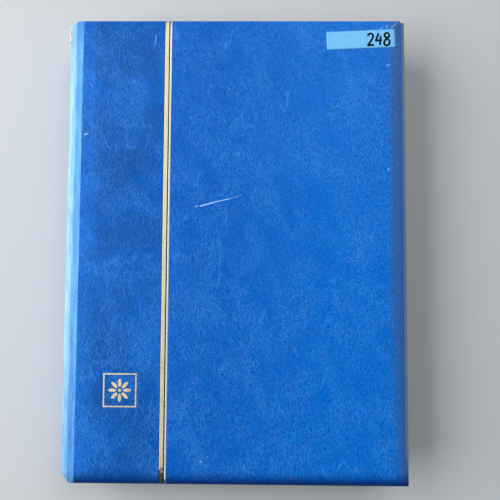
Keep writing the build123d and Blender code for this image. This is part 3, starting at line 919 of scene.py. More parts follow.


# %% [markdown]
# The net is now bent into shape. Each point first gets its place on the section, then its depth. Rings past
# an edge are pushed inwards along the section's own inward direction. A net of points is easier to keep
# free of gaps here than a modelled solid, because every bend is one formula. The skin is merged where rings
# meet and then thickened to a real wall.

# %% Build a skin
def skin_net(stamped):
    """The skin's points as rows and columns of (x, y, depth)."""
    section = spine_section()
    columns = cover_columns(stamped)
    rows = cover_rows(stamped)
    profile_x = np.concatenate([section[:, 0], columns])
    profile_d = np.concatenate([section[:, 1], roll(PLATEAU_LEFT - columns, JOINT_ROLL, JOINT_DROP)])
    steps = np.gradient(np.stack([profile_x, profile_d], axis=1), axis=0)
    steps /= np.linalg.norm(steps, axis=1)[:, None]
    inward_x, inward_d = -steps[:, 1], steps[:, 0]
    on_cover = soft_step(profile_x, GROOVE - 3 * MM, PLATEAU_LEFT)
    cover_part = profile_x >= GROOVE - 1e-9
    inward_x = np.where(cover_part, 0.0, inward_x)
    inward_d = np.where(cover_part, 1.0, inward_d)
    row_ring = np.concatenate([np.arange(RINGS, 0, -1), np.zeros(len(rows), int), np.arange(1, RINGS + 1)])
    row_y = np.concatenate([np.full(RINGS, rows[0]), rows, np.full(RINGS, rows[-1])])
    column_ring = np.concatenate([np.zeros(len(profile_x), int), np.arange(1, RINGS + 1)])
    column_x = np.concatenate([profile_x, np.full(RINGS, FORE_EDGE)])
    column_d, on_cover, inward_x, inward_d = (
        np.concatenate([values, np.full(RINGS, last)])
        for values, last in ((profile_d, 0.0), (on_cover, 1.0), (inward_x, 0.0), (inward_d, 1.0))
    )

    x = np.repeat(column_x[None, :], len(row_y), axis=0)
    y = np.repeat(row_y[:, None], len(column_x), axis=1)
    ring = np.maximum(row_ring[:, None], column_ring[None, :])
    inset = RING_INSET[ring]
    on_cover = np.repeat(on_cover[None, :], len(row_y), axis=0)

    right_part = x >= GROOVE - 1e-9
    surface = np.where(right_part, cover_depth(np.maximum(x, GROOVE), y, stamped), 0.0)
    end_width = END_ROLL * on_cover + 2.2 * MM * (1 - on_cover)
    end_drop = roll(np.abs(y) - (HALF_HEIGHT - end_width), 1.0 * end_width, 1.0) * 0.9 * MM
    depth_ring = RING_COVER[ring] * on_cover + RING_SPINE[ring] * (1 - on_cover)
    sink = np.where(ring > 0, depth_ring, np.where(right_part, 0.0, end_drop))
    base_d = np.where(right_part, 0.0, np.repeat(column_d[None, :], len(row_y), axis=0))
    at_cover = np.where(ring > 0, depth_ring, surface)
    out_x = np.where(right_part, x, x + inward_x[None, :] * sink)
    out_d = np.where(right_part, at_cover, base_d + inward_d[None, :] * sink)

    limit_y = HALF_HEIGHT - inset
    y = np.clip(y, -limit_y, limit_y)
    out_x = np.where(ring > 0, np.minimum(out_x, FORE_EDGE - inset), out_x)
    cut = corner_cut(x, base_d, y > 0) * soft_step(np.abs(y), HALF_HEIGHT - 13 * MM, HALF_HEIGHT)
    y = y - np.sign(y) * cut
    return round_corners(np.stack([out_x, y, out_d], axis=2))


def round_corners(points, radius=0.8 * MM):
    """Round the fore-edge corners in plan: the square of each corner becomes a quarter of a disc."""
    corner_x = FORE_EDGE - radius
    corner_y = HALF_HEIGHT - radius
    over_x = np.maximum(points[..., 0] - corner_x, 0)
    over_y = np.maximum(np.abs(points[..., 1]) - corner_y, 0)
    both = (over_x > 0) & (over_y > 0)
    longest = np.maximum(over_x, over_y)
    shrink = np.where(both, longest / np.maximum(np.hypot(over_x, over_y), 1e-9), 1.0)
    points[..., 0] = np.where(both, corner_x + over_x * shrink, points[..., 0])
    points[..., 1] = np.where(both, np.sign(points[..., 1]) * (corner_y + over_y * shrink), points[..., 1])
    return points


def make_skin(name, front, material):
    """A cover's leatherette, from the fore-edge's turn-in to the middle of the spine."""
    skin = add_net(name, on_side(skin_net(front), front), flip=not front)
    merge_points(skin)
    thicken(skin, 0.45 * MM)
    skin.data.set_sharp_from_angle(angle=math.radians(55))
    skin.data.materials.append(material)
    return tell(skin)


HINGE_DEPTH = 3.2 * MM
front_skin = make_skin(
    "front_cover_skin", True, make_leatherette("blue_leatherette_front", FRONT_MARKS, FRONT_BARE, True)
)
back_skin = make_skin(
    "back_cover_skin", False, make_leatherette("blue_leatherette_back", BACK_MARKS, BACK_BARE, False)
)
for skin, cover, z in (
    (front_skin, "front_cover", THICKNESS - HINGE_DEPTH), (back_skin, "back_cover", HINGE_DEPTH)
):
    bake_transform(skin)
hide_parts("front_leatherette", "spine_leatherette")
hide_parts("back_leatherette")

# %% [markdown]
# ## Foam, boards and endpapers
# Under each skin lies a thin sheet of foam on grey board. Nobody sees the foam in a finished album, but it is
# a part of its own, so it gets its own piece with the cover's shape, half a millimetre smaller all round. The
# boards and endpapers are flat sheets cut with a knife, so the measured parts keep their shape and only need
# a finish: flecked grey board, and a black paper with a fine laid pattern inside the covers.

# %% Foam
foam_material, tree, shader, place = new_material("foam")
pores = add_node(tree, "ShaderNodeTexVoronoi", {"Vector": place, "Scale": 1 / (0.6 * MM)})
open_pores = step_node(tree, pores.outputs["Distance"], 0.1, 0.5)
tree.links.new(
    mix_colours(tree, open_pores, (0.45, 0.43, 0.36, 1), (0.80, 0.78, 0.70, 1)), shader.inputs["Base Color"]
)
tree.links.new(step_node(tree, open_pores, 0.0, 1.0, 0.95, 0.85), shader.inputs["Roughness"])
add_bump(tree, shader, open_pores, 0.2 * MM)

FOAM_GAP = SKIN + 0.05 * MM


def make_foam(name, front):
    """The padding of one cover: the skin's shape above, flat against the board below."""
    x = graded(
        (board_low.x, PLATEAU_LEFT, 0.5 * MM), (PLATEAU_LEFT, PLATEAU_RIGHT, 4 * MM),
        (PLATEAU_RIGHT, board_high.x, 0.8 * MM)
    )
    y = graded(
        (-board_high.y, -END_START, 0.6 * MM), (-END_START, END_START, 4 * MM),
        (END_START, board_high.y, 0.6 * MM)
    )
    grid_x, grid_y = np.meshgrid(x, y)
    top = np.minimum(cover_depth(grid_x, grid_y, front) + FOAM_GAP, BOARD_DEPTH - 0.04 * MM)
    under = np.full_like(top, BOARD_DEPTH - 0.02 * MM)
    return tell(closed_slab(name, [np.stack([grid_x, grid_y, d], axis=2) for d in (top, under)], front))


for name, front, cover in (
    ("front_cover_foam", True, "front_cover"), ("back_cover_foam", False, "back_cover")
):
    foam = make_foam(name, front)
    foam.data.materials.append(foam_material)
    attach(foam, cover)
    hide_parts("front_padding" if front else "back_padding")

# %% [markdown]
# Board, paper and cloth differ only in their fibres, so one function makes paper and card from two stretched
# noises and another makes woven cloth from two sets of waves. Each gets its own colours and roughness.

# %% Boards, endpapers and the block at the spine
board_material, tree, shader, place = new_material("grey_board")
flecks = noise_node(tree, place, 1.4 * MM, 5.0, 0.7)
tree.links.new(
    mix_colours(tree, step_node(tree, flecks, 0.38, 0.62), (0.20, 0.185, 0.165, 1), (0.42, 0.39, 0.34, 1)),
    shader.inputs["Base Color"],
)
tree.links.new(step_node(tree, flecks, 0.3, 0.7, 0.80, 0.95), shader.inputs["Roughness"])
add_bump(tree, shader, flecks, 0.06 * MM)


def make_paper(name, dark, light, roughness, fibre, depth):
    """Paper or card: fibres that lie at random, drawn by two stretched noises."""
    material, tree, shader, place = new_material(name)
    across = add_node(tree, "ShaderNodeMapping", {"Vector": place, "Scale": (1.0, 0.25, 1.0)}).outputs[0]
    along = add_node(tree, "ShaderNodeMapping", {"Vector": place, "Scale": (0.25, 1.0, 1.0)}).outputs[0]
    fibres = math_node(
        tree, "ADD", noise_node(tree, across, fibre, 3.0, 0.6), noise_node(tree, along, fibre, 3.0, 0.6)
    )
    fibres = math_node(tree, "MULTIPLY", fibres, 0.5)
    shade = step_node(tree, fibres, 0.36, 0.64)
    tree.links.new(mix_colours(tree, shade, dark, light), shader.inputs["Base Color"])
    tree.links.new(
        step_node(tree, fibres, 0.3, 0.7, roughness - 0.06, roughness + 0.06), shader.inputs["Roughness"]
    )
    add_bump(tree, shader, fibres, depth)
    return material


def make_cloth(name, dark, light, thread):
    """Woven cloth: warp and weft as two sets of ridges that pass over each other in turn."""
    material, tree, shader, place = new_material(name)
    parts = add_node(tree, "ShaderNodeSeparateXYZ", {0: place})
    rate = math.pi / thread
    warp_wave = math_node(tree, "SINE", math_node(tree, "MULTIPLY", parts.outputs["X"], rate))
    weft_wave = math_node(tree, "SINE", math_node(tree, "MULTIPLY", parts.outputs["Y"], rate))
    turn = math_node(tree, "MULTIPLY", warp_wave, weft_wave)
    slubs = noise_node(tree, place, 2.5 * MM, 3.0)
    lift = math_node(tree, "ADD", math_node(tree, "MULTIPLY", turn, 0.35), slubs)
    tree.links.new(
        mix_colours(tree, step_node(tree, lift, 0.2, 0.9), dark, light), shader.inputs["Base Color"]
    )
    tree.links.new(step_node(tree, lift, 0.0, 1.0, 0.92, 0.70), shader.inputs["Roughness"])
    add_bump(tree, shader, lift, 0.10 * MM)
    return material


endpaper_material = make_paper(
    "endpaper", (0.010, 0.010, 0.012, 1), (0.030, 0.030, 0.034, 1), 0.70, 0.5 * MM, 0.05 * MM
)
linen_material = make_cloth("binding_linen", (0.008, 0.008, 0.009, 1), (0.032, 0.031, 0.030, 1), 0.35 * MM)
card_material = make_paper(
    "black_card", (0.006, 0.006, 0.007, 1), (0.020, 0.020, 0.022, 1), 0.62, 0.4 * MM, 0.04 * MM
)


def finish_node(name, material):
    """Give a measured part its material."""
    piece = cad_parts[name]
    piece.data.materials.clear()
    piece.data.materials.append(material)


for cover in ("front", "back"):
    finish_node(cover + "_board", board_material)
    finish_node(cover + "_endpaper", endpaper_material)
finish_node("binding_block", linen_material)

# %% [markdown]
# The board in the spine is cut to fit, but its corners are crushed where the skin has drawn in, so it is a
# plate of its own with corners cut back by the same rule as the skin.

# %% Spine board
spine_low, spine_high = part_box("spine_board")
spine_z = graded((spine_low.z, spine_high.z, 1.2 * MM))
spine_y = np.linspace(-1, 1, 121)
spine_grid_y, spine_grid_z = np.meshgrid(spine_y, spine_z)
edge_near = np.minimum(spine_grid_z, THICKNESS - spine_grid_z)
reach_head = spine_high.y - 1.4 * MM - corner_cut(SPINE_FACE, edge_near, True) - 0.3 * MM
reach_tail = spine_high.y - 1.4 * MM - corner_cut(SPINE_FACE, edge_near, False) - 0.3 * MM
spine_points_y = np.where(spine_grid_y > 0, spine_grid_y * reach_head, spine_grid_y * reach_tail)
spine_outer = SKIN_FACE + SKIN + 0.05 * MM
spine_sheet = np.stack([np.full_like(spine_points_y, spine_outer), spine_points_y, spine_grid_z], axis=2)
spine_plate = thicken(
    add_net("spine_board_plate", spine_sheet, flip=True), spine_high.x - spine_outer - 0.05 * MM
)
inside_x = [v.co.x for v in spine_plate.data.vertices]
print("spine board from", round(1000 * min(inside_x), 2), "to", round(1000 * max(inside_x), 2), "mm")
spine_plate.data.set_sharp_from_angle(angle=math.radians(50))
spine_plate.data.materials.append(board_material)
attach(spine_plate, "spine")
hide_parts("spine_board")

# %% [markdown]
# At the head of the spine the skin has torn where fingers hook an album off the shelf. A ragged sliver of the
# beige board shows beside the shoulder there, so a small torn flake is built: a strip whose width and
# thickness vary along its length by a few waves.

# %% Torn flake at the head
flake_material = make_paper(
    "torn_board", (0.50, 0.42, 0.30, 1), (0.86, 0.80, 0.68, 1), 0.9, 0.6 * MM, 0.2 * MM
)
flake_y = np.linspace(139.4, 150.4, 34) * MM
flake_run = np.linspace(0, 1, 34)
flake_width = MM * (
    0.35 + 1.0 * np.sin(math.pi * flake_run) ** 0.6 + 0.22 * np.sin(31 * flake_run)
    + 0.12 * np.sin(77 * flake_run)
)
flake_columns = []
for share in np.linspace(0, 1, 6):
    bulge = 0.25 * MM * np.sin(9 * flake_run + 7 * share) + 0.12 * MM * np.sin(41 * flake_run - 11 * share)
    flake_x = SKIN_FACE + 0.6 * MM - flake_width * share - 0.9 * MM * share
    flake_columns.append(
        np.stack([flake_x, flake_y, THICKNESS - 4.4 * MM - 2.2 * MM * share**2 + bulge], axis=1)
    )
flake = thicken(add_net("torn_board_flake", np.stack(flake_columns, axis=1), flip=True), 0.7 * MM)
flake.data.materials.append(flake_material)
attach(flake, "spine")
tell(flake)

# %% [markdown]
# ## Foil
# The lines and the ornament are metal foil stamped on with a hot die: a wide pale gold line, a thin silver
# one beside it and a gold ornament. Foil is metal, but thin: it takes the grain of the skin, and rubbing
# has broken it into tiny brown spots. The last millimetres of both lines at the tail are painted dark, a
# painted dark reflection where the foil curves down over the rolled edge: about 10 mm of the gold, 3 mm of
# the silver.


# %% Foil material
def make_foil(name, colour, worn_colour, roughness, tail_dark_reflection):
    """Stamped foil, mottled by rubbing, with a painted dark reflection over the given number of metres at the
    tail edge.
    """
    material, tree, shader, place = new_material(name)
    parts = add_node(tree, "ShaderNodeSeparateXYZ", {0: place})
    spots = step_node(tree, noise_node(tree, place, 0.75 * MM, 4.0, 0.8), 0.47, 0.60)
    patches = step_node(tree, noise_node(tree, place, 12 * MM, 2.0), 0.35, 0.70, 0.4, 1.0)
    patches = math_node(
        tree, "MULTIPLY", patches, step_node(tree, parts.outputs["Y"], -90 * MM, 60 * MM, 1.0, 0.55)
    )
    worn = math_node(tree, "MULTIPLY", spots, patches)
    # Painted dark reflection at the tail, where the foil curves down over the rolled edge; the foil is not
    # metallic there.
    if tail_dark_reflection:
        ragged = math_node(
            tree, "MULTIPLY", math_node(tree, "SUBTRACT", noise_node(tree, place, 1.6 * MM, 4.0), 0.5),
            14 * MM
        )
        near_tail = math_node(tree, "ADD", parts.outputs["Y"], ragged)
        dark_reflection = step_node(
            tree, near_tail, tail_dark_reflection - HALF_HEIGHT - 3 * MM, tail_dark_reflection - HALF_HEIGHT + 3 * MM, 0.95, 0.0
        )
    colour_now = mix_colours(tree, math_node(tree, "MULTIPLY", worn, 0.8), colour, worn_colour)
    if tail_dark_reflection:
        colour_now = mix_colours(tree, dark_reflection, colour_now, DARK_REFLECTION_BLACK)
    tree.links.new(colour_now, shader.inputs["Base Color"])
    metal = step_node(tree, worn, 0.0, 1.0, 0.40, 0.20)
    if tail_dark_reflection:
        metal = math_node(tree, "MULTIPLY", metal, math_node(tree, "SUBTRACT", 1.0, dark_reflection))
    tree.links.new(metal, shader.inputs["Metallic"])
    tree.links.new(step_node(tree, worn, 0.0, 1.0, roughness, 0.65), shader.inputs["Roughness"])
    grain = place_group(tree, grain_group, {"Place": place, "Pebble": 1.25 * MM, "Crease": 0.4})
    add_bump(tree, shader, grain.outputs["Height"], 0.05 * MM)
    return material


GOLD = (0.92, 0.80, 0.48, 1)
SILVER = (0.92, 0.93, 0.92, 1)
RUBBED = (0.30, 0.20, 0.10, 1)
RUBBED_SILVER = (0.35, 0.36, 0.38, 1)
# the colour of the painted dark reflection at the tail
DARK_REFLECTION_BLACK = (0.006, 0.007, 0.008, 1)
gold_foil = make_foil("gold_foil", GOLD, RUBBED, 0.40, 10 * MM)
silver_foil = make_foil("silver_foil", SILVER, RUBBED_SILVER, 0.28, 3 * MM)

# %% [markdown]
# A line of foil is a narrow net that follows the pressed skin from tail to head, over the rolled ends, and
# stops a millimetre before the edge. It lies a few hundredths of a millimetre above the skin.

# %% Lines
LINE_STOP = 1.0 * MM
FOIL_LIFT = 0.03 * MM


def make_line(name, left, width, columns, crown, material):
    """A stamped line on the front cover."""
    x = np.linspace(left, left + width, columns)
    start = HALF_HEIGHT - LINE_STOP
    y = graded(
        (-start, -END_START, 0.3 * MM), (-END_START, END_START, 1.6 * MM), (END_START, start, 0.3 * MM)
    )
    grid_x, grid_y = np.meshgrid(x, y)
    across = (grid_x - left) / width * 2 - 1
    depth = cover_depth(grid_x, grid_y) - FOIL_LIFT - crown * (1 - across**2)
    line = add_net(name, on_side(np.stack([grid_x, grid_y, depth], axis=2), True))
    thicken(line, 0.02 * MM)
    line.data.materials.append(material)
    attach(line, "front_cover")
    return tell(line)


make_line("wide_gold_line", LINES_LEFT, WIDE_LINE, 8, 0.0, gold_foil)
make_line("thin_silver_line", LINES_RIGHT - THIN_LINE, THIN_LINE, 7, 0.04 * MM, silver_foil)

# %% [markdown]
# ## The ornament
# The ornament is a square frame round a flower of eight petals, which stands for no one in particular. The
# petals repeat round a centre, so Geometry Nodes make them: one petal is drawn from a circle, moved out,
# turned into eight instances and made real. The result is flat and is then laid on the skin point by point.

# %% Petals with Geometry Nodes
petal_tree = bpy.data.node_groups.new("petal_ring", "GeometryNodeTree")
petal_tree.is_modifier = True
petal_inputs = {}
for title, kind, value in (
    ("Petals", "NodeSocketInt", 8),
    ("Petal length", FLOAT, 5.2 * MM),
    ("Petal width", FLOAT, 2.2 * MM),
    ("Ring radius", FLOAT, 4.8 * MM),
    ("Material", "NodeSocketMaterial", None),
):
    socket = petal_tree.interface.new_socket(title, in_out="INPUT", socket_type=kind)
    if value is not None:
        socket.default_value = value
    petal_inputs[title] = socket.identifier
petal_tree.interface.new_socket("Geometry", in_out="OUTPUT", socket_type="NodeSocketGeometry")
tree = petal_tree
inside = tree.nodes.new("NodeGroupInput")
outside = tree.nodes.new("NodeGroupOutput")
circle = add_node(tree, "GeometryNodeMeshCircle", {"Vertices": 20, "Radius": 0.5}, fill_type="TRIANGLE_FAN")
petal_size = add_node(
    tree, "ShaderNodeCombineXYZ",
    {0: inside.outputs["Petal length"], 1: inside.outputs["Petal width"], 2: 1.0}
)
petal_place = add_node(tree, "ShaderNodeCombineXYZ", {0: inside.outputs["Ring radius"]})
petal = add_node(
    tree, "GeometryNodeTransform", {
        0: circle.outputs[0], "Scale": petal_size.outputs[0], "Translation": petal_place.outputs[0]
    }
)
points = add_node(
    tree, "GeometryNodeMeshLine", {"Count": inside.outputs["Petals"], "Offset": (0, 0, 0)}, mode="OFFSET"
)
index = tree.nodes.new("GeometryNodeInputIndex")
share = math_node(tree, "DIVIDE", index.outputs[0], inside.outputs["Petals"])
turn = add_node(tree, "ShaderNodeCombineXYZ", {2: math_node(tree, "MULTIPLY", share, 2 * math.pi)})
ring = add_node(
    tree, "GeometryNodeInstanceOnPoints", {
        "Points": points.outputs[0], "Instance": petal.outputs[0], "Rotation": turn.outputs[0]
    }
)
real = add_node(tree, "GeometryNodeRealizeInstances", {0: ring.outputs[0]})
painted = add_node(
    tree, "GeometryNodeSetMaterial", {0: real.outputs[0], "Material": inside.outputs["Material"]}
)
tree.links.new(painted.outputs[0], outside.inputs[0])


def run_tree(name, tree_group, identifiers, values):
    """Run a Geometry Nodes tree with the values given by name, and keep its result as a plain mesh."""
    holder = add_mesh(name, [], [])
    modifier = holder.modifiers.new("nodes", "NODES")
    modifier.node_group = tree_group
    for title, value in values.items():
        modifier[identifiers[title]] = value
    bake_modifiers(holder)
    holder.data.materials.clear()
    holder.data.materials.append(values["Material"])
    holder.data.polygons.foreach_set("material_index", [0] * len(holder.data.polygons))
    return holder


# %% [markdown]
# The frame is built from four turned rows of points, because a square needs no tree of its own. Petals, frame
# and bud are flat at first. Each point is then lowered on to the skin, and the whole gets its thickness.

# %% Ornament
ornament = run_tree("gold_ornament", petal_tree, petal_inputs, {"Material": gold_foil})
edit = bmesh.new()
edit.from_mesh(ornament.data)
outer = ORNAMENT_SIZE / 2
inner = outer - ORNAMENT_LINE
STEPS = 24
for quarter in range(4):
    turned = Matrix.Rotation(quarter * math.pi / 2, 3, "Z")
    columns = []
    for step in range(STEPS + 1):
        run = step / STEPS * 2 - 1
        ends = (Vector((run * outer, -outer, 0)), Vector((run * inner, -inner, 0)))
        columns.append([edit.verts.new(turned @ end) for end in ends])
    for (a, b), (c, d) in zip(columns, columns[1:]):
        edit.faces.new((a, c, d, b))
bud = [
    edit.verts.new((1.1 * MM * math.cos(t), 1.1 * MM * math.sin(t), 0))
    for t in np.linspace(0, 2 * math.pi, 17)[:-1]
]
edit.faces.new(bud)
bmesh.ops.remove_doubles(edit, verts=edit.verts, dist=1e-6)
edit.to_mesh(ornament.data)
edit.free()


def lay_on_cover(piece, lift):
    """Move each point of a flat piece down to the front cover's skin, lift metres above it."""
    places = np.array([v.co for v in piece.data.vertices])
    depth = cover_depth(places[:, 0], places[:, 1]) - lift
    places[:, 2] += THICKNESS - depth
    piece.data.vertices.foreach_set("co", places.ravel())
    piece.data.update()


ornament.data.transform(Matrix.Translation((*ORNAMENT_CENTRE, 0)))
lay_on_cover(ornament, 0.05 * MM)
thicken(ornament, 0.02 * MM)
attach(ornament, "front_cover")
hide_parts("gold_foil")
tell(ornament)

# %% [markdown]
# ## The label
# A strip of light blue paper tape is stuck near the head, a little askew, with a lot number in black marker.
# The number here is a plain 248. The tape bends over the start of the fore-edge's roll with the skin, and one
# end has begun to lift. The marker's strokes are ribbons that follow a few given points.

# %% Label
LABEL_LENGTH = 46 * MM
LABEL_WIDTH = 12.3 * MM
LABEL_TILT = math.radians(2.6)
LABEL_CENTRE = ((label_low.x + label_high.x) / 2, (label_low.y + label_high.y) / 2)
label_material = make_paper(
    "label_paper", (0.13, 0.50, 0.93, 1), (0.20, 0.60, 0.98, 1), 0.55, 0.5 * MM, 0.02 * MM
)
ink_material = make_paper(
    "marker_ink", (0.001, 0.001, 0.002, 1), (0.003, 0.003, 0.006, 1), 0.60, 0.3 * MM, 0.01 * MM
)
ink_material.node_tree.nodes["Principled BSDF"].inputs["Specular IOR Level"].default_value = 0.08


def on_label(points, lift):
    """Turn label places (along, across) into places on the cover, lift metres above the skin."""
    points = np.array(points, float)
    along, across = points[..., 0], points[..., 1]
    x = LABEL_CENTRE[0] + along * math.cos(LABEL_TILT) - across * math.sin(LABEL_TILT)
    y = LABEL_CENTRE[1] + along * math.sin(LABEL_TILT) + across * math.cos(LABEL_TILT)
    curl = 0.35 * MM * soft_step(-along, 17 * MM, 23.5 * MM) * soft_step(across, 0, 7 * MM)
    return np.stack([x, y, THICKNESS - cover_depth(x, y) + lift + curl], axis=-1)


label_along = np.linspace(-LABEL_LENGTH / 2, LABEL_LENGTH / 2, 47)
label_across = np.linspace(-LABEL_WIDTH / 2, LABEL_WIDTH / 2, 14)
grid_along, grid_across = np.meshgrid(label_along, label_across)
label = add_net("paper_label", on_label(np.stack([grid_along, grid_across], axis=2), 0.14 * MM))
thicken(label, 0.09 * MM)
label.data.materials.append(label_material)
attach(label, "front_cover")
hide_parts("index_label")

# %% [markdown]
# A marker leaves a stroke of even width with round ends. Each stroke is a soft curve through a few points,
# widened to a ribbon and laid on the label. Later strokes lie a few micrometres higher, so none flickers.

# %% Marker number
MARKER = 1.4 * MM
STROKES = [
    [
        (4.6, 1.9), (5.3, 3.3), (6.8, 3.7), (8.1, 2.7), (7.9, 0.9), (6.5, -1.4), (4.9, -3.6), (4.5, -4.3),
        (6.4, -4.1), (8.6, -4.4)
    ],
    [(12.0, 3.9), (11.2, 2.0), (10.2, -0.4), (9.9, -1.2), (11.8, -1.2), (14.0, -0.9)],
    [(13.3, 1.9), (12.9, -0.7), (12.4, -4.6)],
    [(19.0, 2.6), (17.9, 3.7), (16.3, 3.3), (15.9, 1.7), (17.2, 0.1), (18.9, -1.7), (18.6, -3.9),
     (16.8, -4.8), (15.3, -3.6), (15.8, -1.6), (17.6, 0.3), (19.1, 1.8), (19.0, 2.6)],
]


def smooth_path(points, per_span=8):
    """A soft curve through a few points."""
    p = np.array([points[0]] + points + [points[-1]], float) * MM
    path = []
    for a, b, c, d in zip(p, p[1:], p[2:], p[3:]):
        for t in np.linspace(0, 1, per_span, endpoint=False):
            path.append(
                0.5 * (2 * b + (c - a) * t + (2 * a - 5 * b + 4 * c - d) * t**2
                       + (3 * b - a - 3 * c + d) * t**3)
            )
    return np.array(path + [p[-1]])


def ribbon(path, width):
    """Points along both sides and the middle of a path, with rounded ends."""
    direction = np.gradient(path, axis=0)
    direction /= np.linalg.norm(direction, axis=1)[:, None]
    side = np.stack([-direction[:, 1], direction[:, 0]], axis=1)
    run = np.cumsum(np.r_[0, np.linalg.norm(np.diff(path, axis=0), axis=1)])
    near_end = np.clip(np.minimum(run, run[-1] - run) / (width / 2), 0, 1)
    half = width / 2 * np.sqrt(np.clip(1 - (1 - near_end) ** 2, 0.02, 1))
    return np.stack([path - side * half[:, None], path, path + side * half[:, None]], axis=1)


strokes = []
for number, points in enumerate(STROKES):
    net = ribbon(smooth_path(points), MARKER)
    stroke = add_net(f"stroke_{number}", on_label(net, 0.16 * MM + number * 0.004 * MM), flip=True)
    stroke.data.materials.append(ink_material)
    strokes.append(stroke)
marker_number = join_pieces("marker_number", strokes)
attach(marker_number, "front_cover")
tell(marker_number)

# %% [markdown]
# ## Leaves
# Each leaf is black card with a strip of linen as its hinge, nine clear pockets on either side and a sheet
# of glassine over it that keeps the stamps of facing pages apart. All sixteen leaves are alike, so one
# function makes each kind of piece at the height where the measured leaf lies. The card is a flat plate
# with round corners and softened edges.


# %% Cards
def round_outline(left, right, half, radius, steps=6):
    """The outline of a card with its two fore-edge corners rounded, anticlockwise."""
    points = [(left, half), (left, -half)]
    for centre_y, first in ((-half + radius, -90), (half - radius, 0)):
        for step in range(steps + 1):
            angle = math.radians(first + 90 * step / steps)
            points.append((right - radius + radius * math.cos(angle), centre_y + radius * math.sin(angle)))
    return points


def make_plate(name, outline, low, high, material, soft=0.0):
    """A flat plate from an outline, between two heights, with edges softened by a small bevel."""
    count = len(outline)
    points = [(x, y, low) for x, y in outline] + [(x, y, high) for x, y in outline]
    walls = [(i, (i + 1) % count, (i + 1) % count + count, i + count) for i in range(count)]
    plate = add_mesh(
        name, points, [tuple(range(count))[::-1], tuple(range(count, 2 * count))] + walls, smooth=False
    )
    if soft:
        bevel = plate.modifiers.new("soft_edge", "BEVEL")
        bevel.width = soft
        bevel.segments = 2
        bake_modifiers(plate)
    plate.data.materials.clear()
    plate.data.materials.append(material)
    return plate


LEAVES = 16
CARD = 0.5 * MM
CARD_CORNER = 3 * MM
LAP = 6 * MM
leaf_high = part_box("leaf_09")[1]
CARD_LEFT = leaf_high.x - 197 * MM
CARD_RIGHT = leaf_high.x
CARD_HALF = leaf_high.y


def leaf_middle(number):
    """Height of the middle of a leaf's card."""
    low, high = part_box(f"leaf_{number:02d}_pockets")
    return (low.z + high.z) / 2


# %% [markdown]
# The linen is pasted into a groove of the block at the spine, crosses the gap, climbs onto the card and is
# pasted down there for 6 mm.


# %% Linen hinges
def make_linen(number, middle):
    """The cloth strip that joins one card to the block at the spine."""
    x = graded(
        (block_high.x - 1.3 * MM, CARD_LEFT - 2 * MM, 0.7 * MM),
        (CARD_LEFT - 2 * MM, CARD_LEFT + 1 * MM, 0.3 * MM),
        (CARD_LEFT + 1 * MM, CARD_LEFT + LAP, 1.2 * MM),
    )
    rise = soft_step(x, CARD_LEFT - 2.2 * MM, CARD_LEFT - 0.1 * MM)
    z = middle + rise * (CARD / 2 + 0.16 * MM)
    y = np.linspace(-CARD_HALF + 0.5 * MM, CARD_HALF - 0.5 * MM, 25)
    points = np.stack([np.tile(x, (25, 1)), np.tile(y[:, None], (1, len(x))), np.tile(z, (25, 1))], axis=2)
    linen = thicken(add_net(f"leaf_{number:02d}_linen", points), 0.12 * MM)
    linen.data.materials.append(linen_material)
    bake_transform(linen)
    return linen


# %% [markdown]
# The pockets are strips of clear film, welded to the card along the tail side and open along the head side,
# where the film stands off a little so that tweezers can slip a stamp in. Nine strips on two sides of sixteen
# leaves repeat one shape, so a Geometry Nodes tree makes them from a low box with three rows of points.

# %% Pocket strips with Geometry Nodes
film_material, tree, shader, place = new_material("clear_film")
haze = noise_node(tree, place, 9 * MM, 4.0, 0.65)
tree.links.new(
    mix_colours(tree, haze, (0.86, 0.90, 0.93, 1), (0.97, 0.98, 1.0, 1)), shader.inputs["Base Color"]
)
tree.links.new(step_node(tree, haze, 0.3, 0.75, 0.05, 0.22), shader.inputs["Roughness"])
shader.inputs["Transmission Weight"].default_value = 1.0
shader.inputs["IOR"].default_value = 1.49
add_bump(tree, shader, haze, 0.3 * MM)

strip_tree = bpy.data.node_groups.new("pocket_strips", "GeometryNodeTree")
strip_tree.is_modifier = True
strip_inputs = {}
for title, kind, value in (
    ("Strips", "NodeSocketInt", 9),
    ("Pitch", FLOAT, 32 * MM),
    ("Strip length", FLOAT, 190 * MM),
    ("Strip height", FLOAT, 28 * MM),
    ("Film", FLOAT, 0.08 * MM),
    ("Stand-off", FLOAT, 0.06 * MM),
    ("Card surface", FLOAT, 0.3 * MM),
    ("Material", "NodeSocketMaterial", None),
):
    socket = strip_tree.interface.new_socket(title, in_out="INPUT", socket_type=kind)
    if value is not None:
        socket.default_value = value
    strip_inputs[title] = socket.identifier
strip_tree.interface.new_socket("Geometry", in_out="OUTPUT", socket_type="NodeSocketGeometry")
tree = strip_tree
inside = tree.nodes.new("NodeGroupInput")
outside = tree.nodes.new("NodeGroupOutput")
strip_size = add_node(
    tree, "ShaderNodeCombineXYZ",
    {0: inside.outputs["Strip length"], 1: inside.outputs["Strip height"], 2: inside.outputs["Film"]},
)
strip_box = add_node(
    tree, "GeometryNodeMeshCube", {
        "Size": strip_size.outputs[0], "Vertices X": 7, "Vertices Y": 4, "Vertices Z": 2
    }
)
where = tree.nodes.new("GeometryNodeInputPosition")
where_parts = add_node(tree, "ShaderNodeSeparateXYZ", {0: where.outputs[0]})
up_strip = math_node(
    tree, "ADD", math_node(tree, "DIVIDE", where_parts.outputs["Y"], inside.outputs["Strip height"]), 0.5
)
lifted = math_node(
    tree, "MULTIPLY", math_node(tree, "MULTIPLY", up_strip, up_strip), inside.outputs["Stand-off"]
)
off_card = math_node(tree, "ADD", lifted, math_node(tree, "MULTIPLY", inside.outputs["Film"], 0.6))
raise_by = add_node(
    tree, "ShaderNodeCombineXYZ", {2: math_node(tree, "ADD", off_card, inside.outputs["Card surface"])}
)
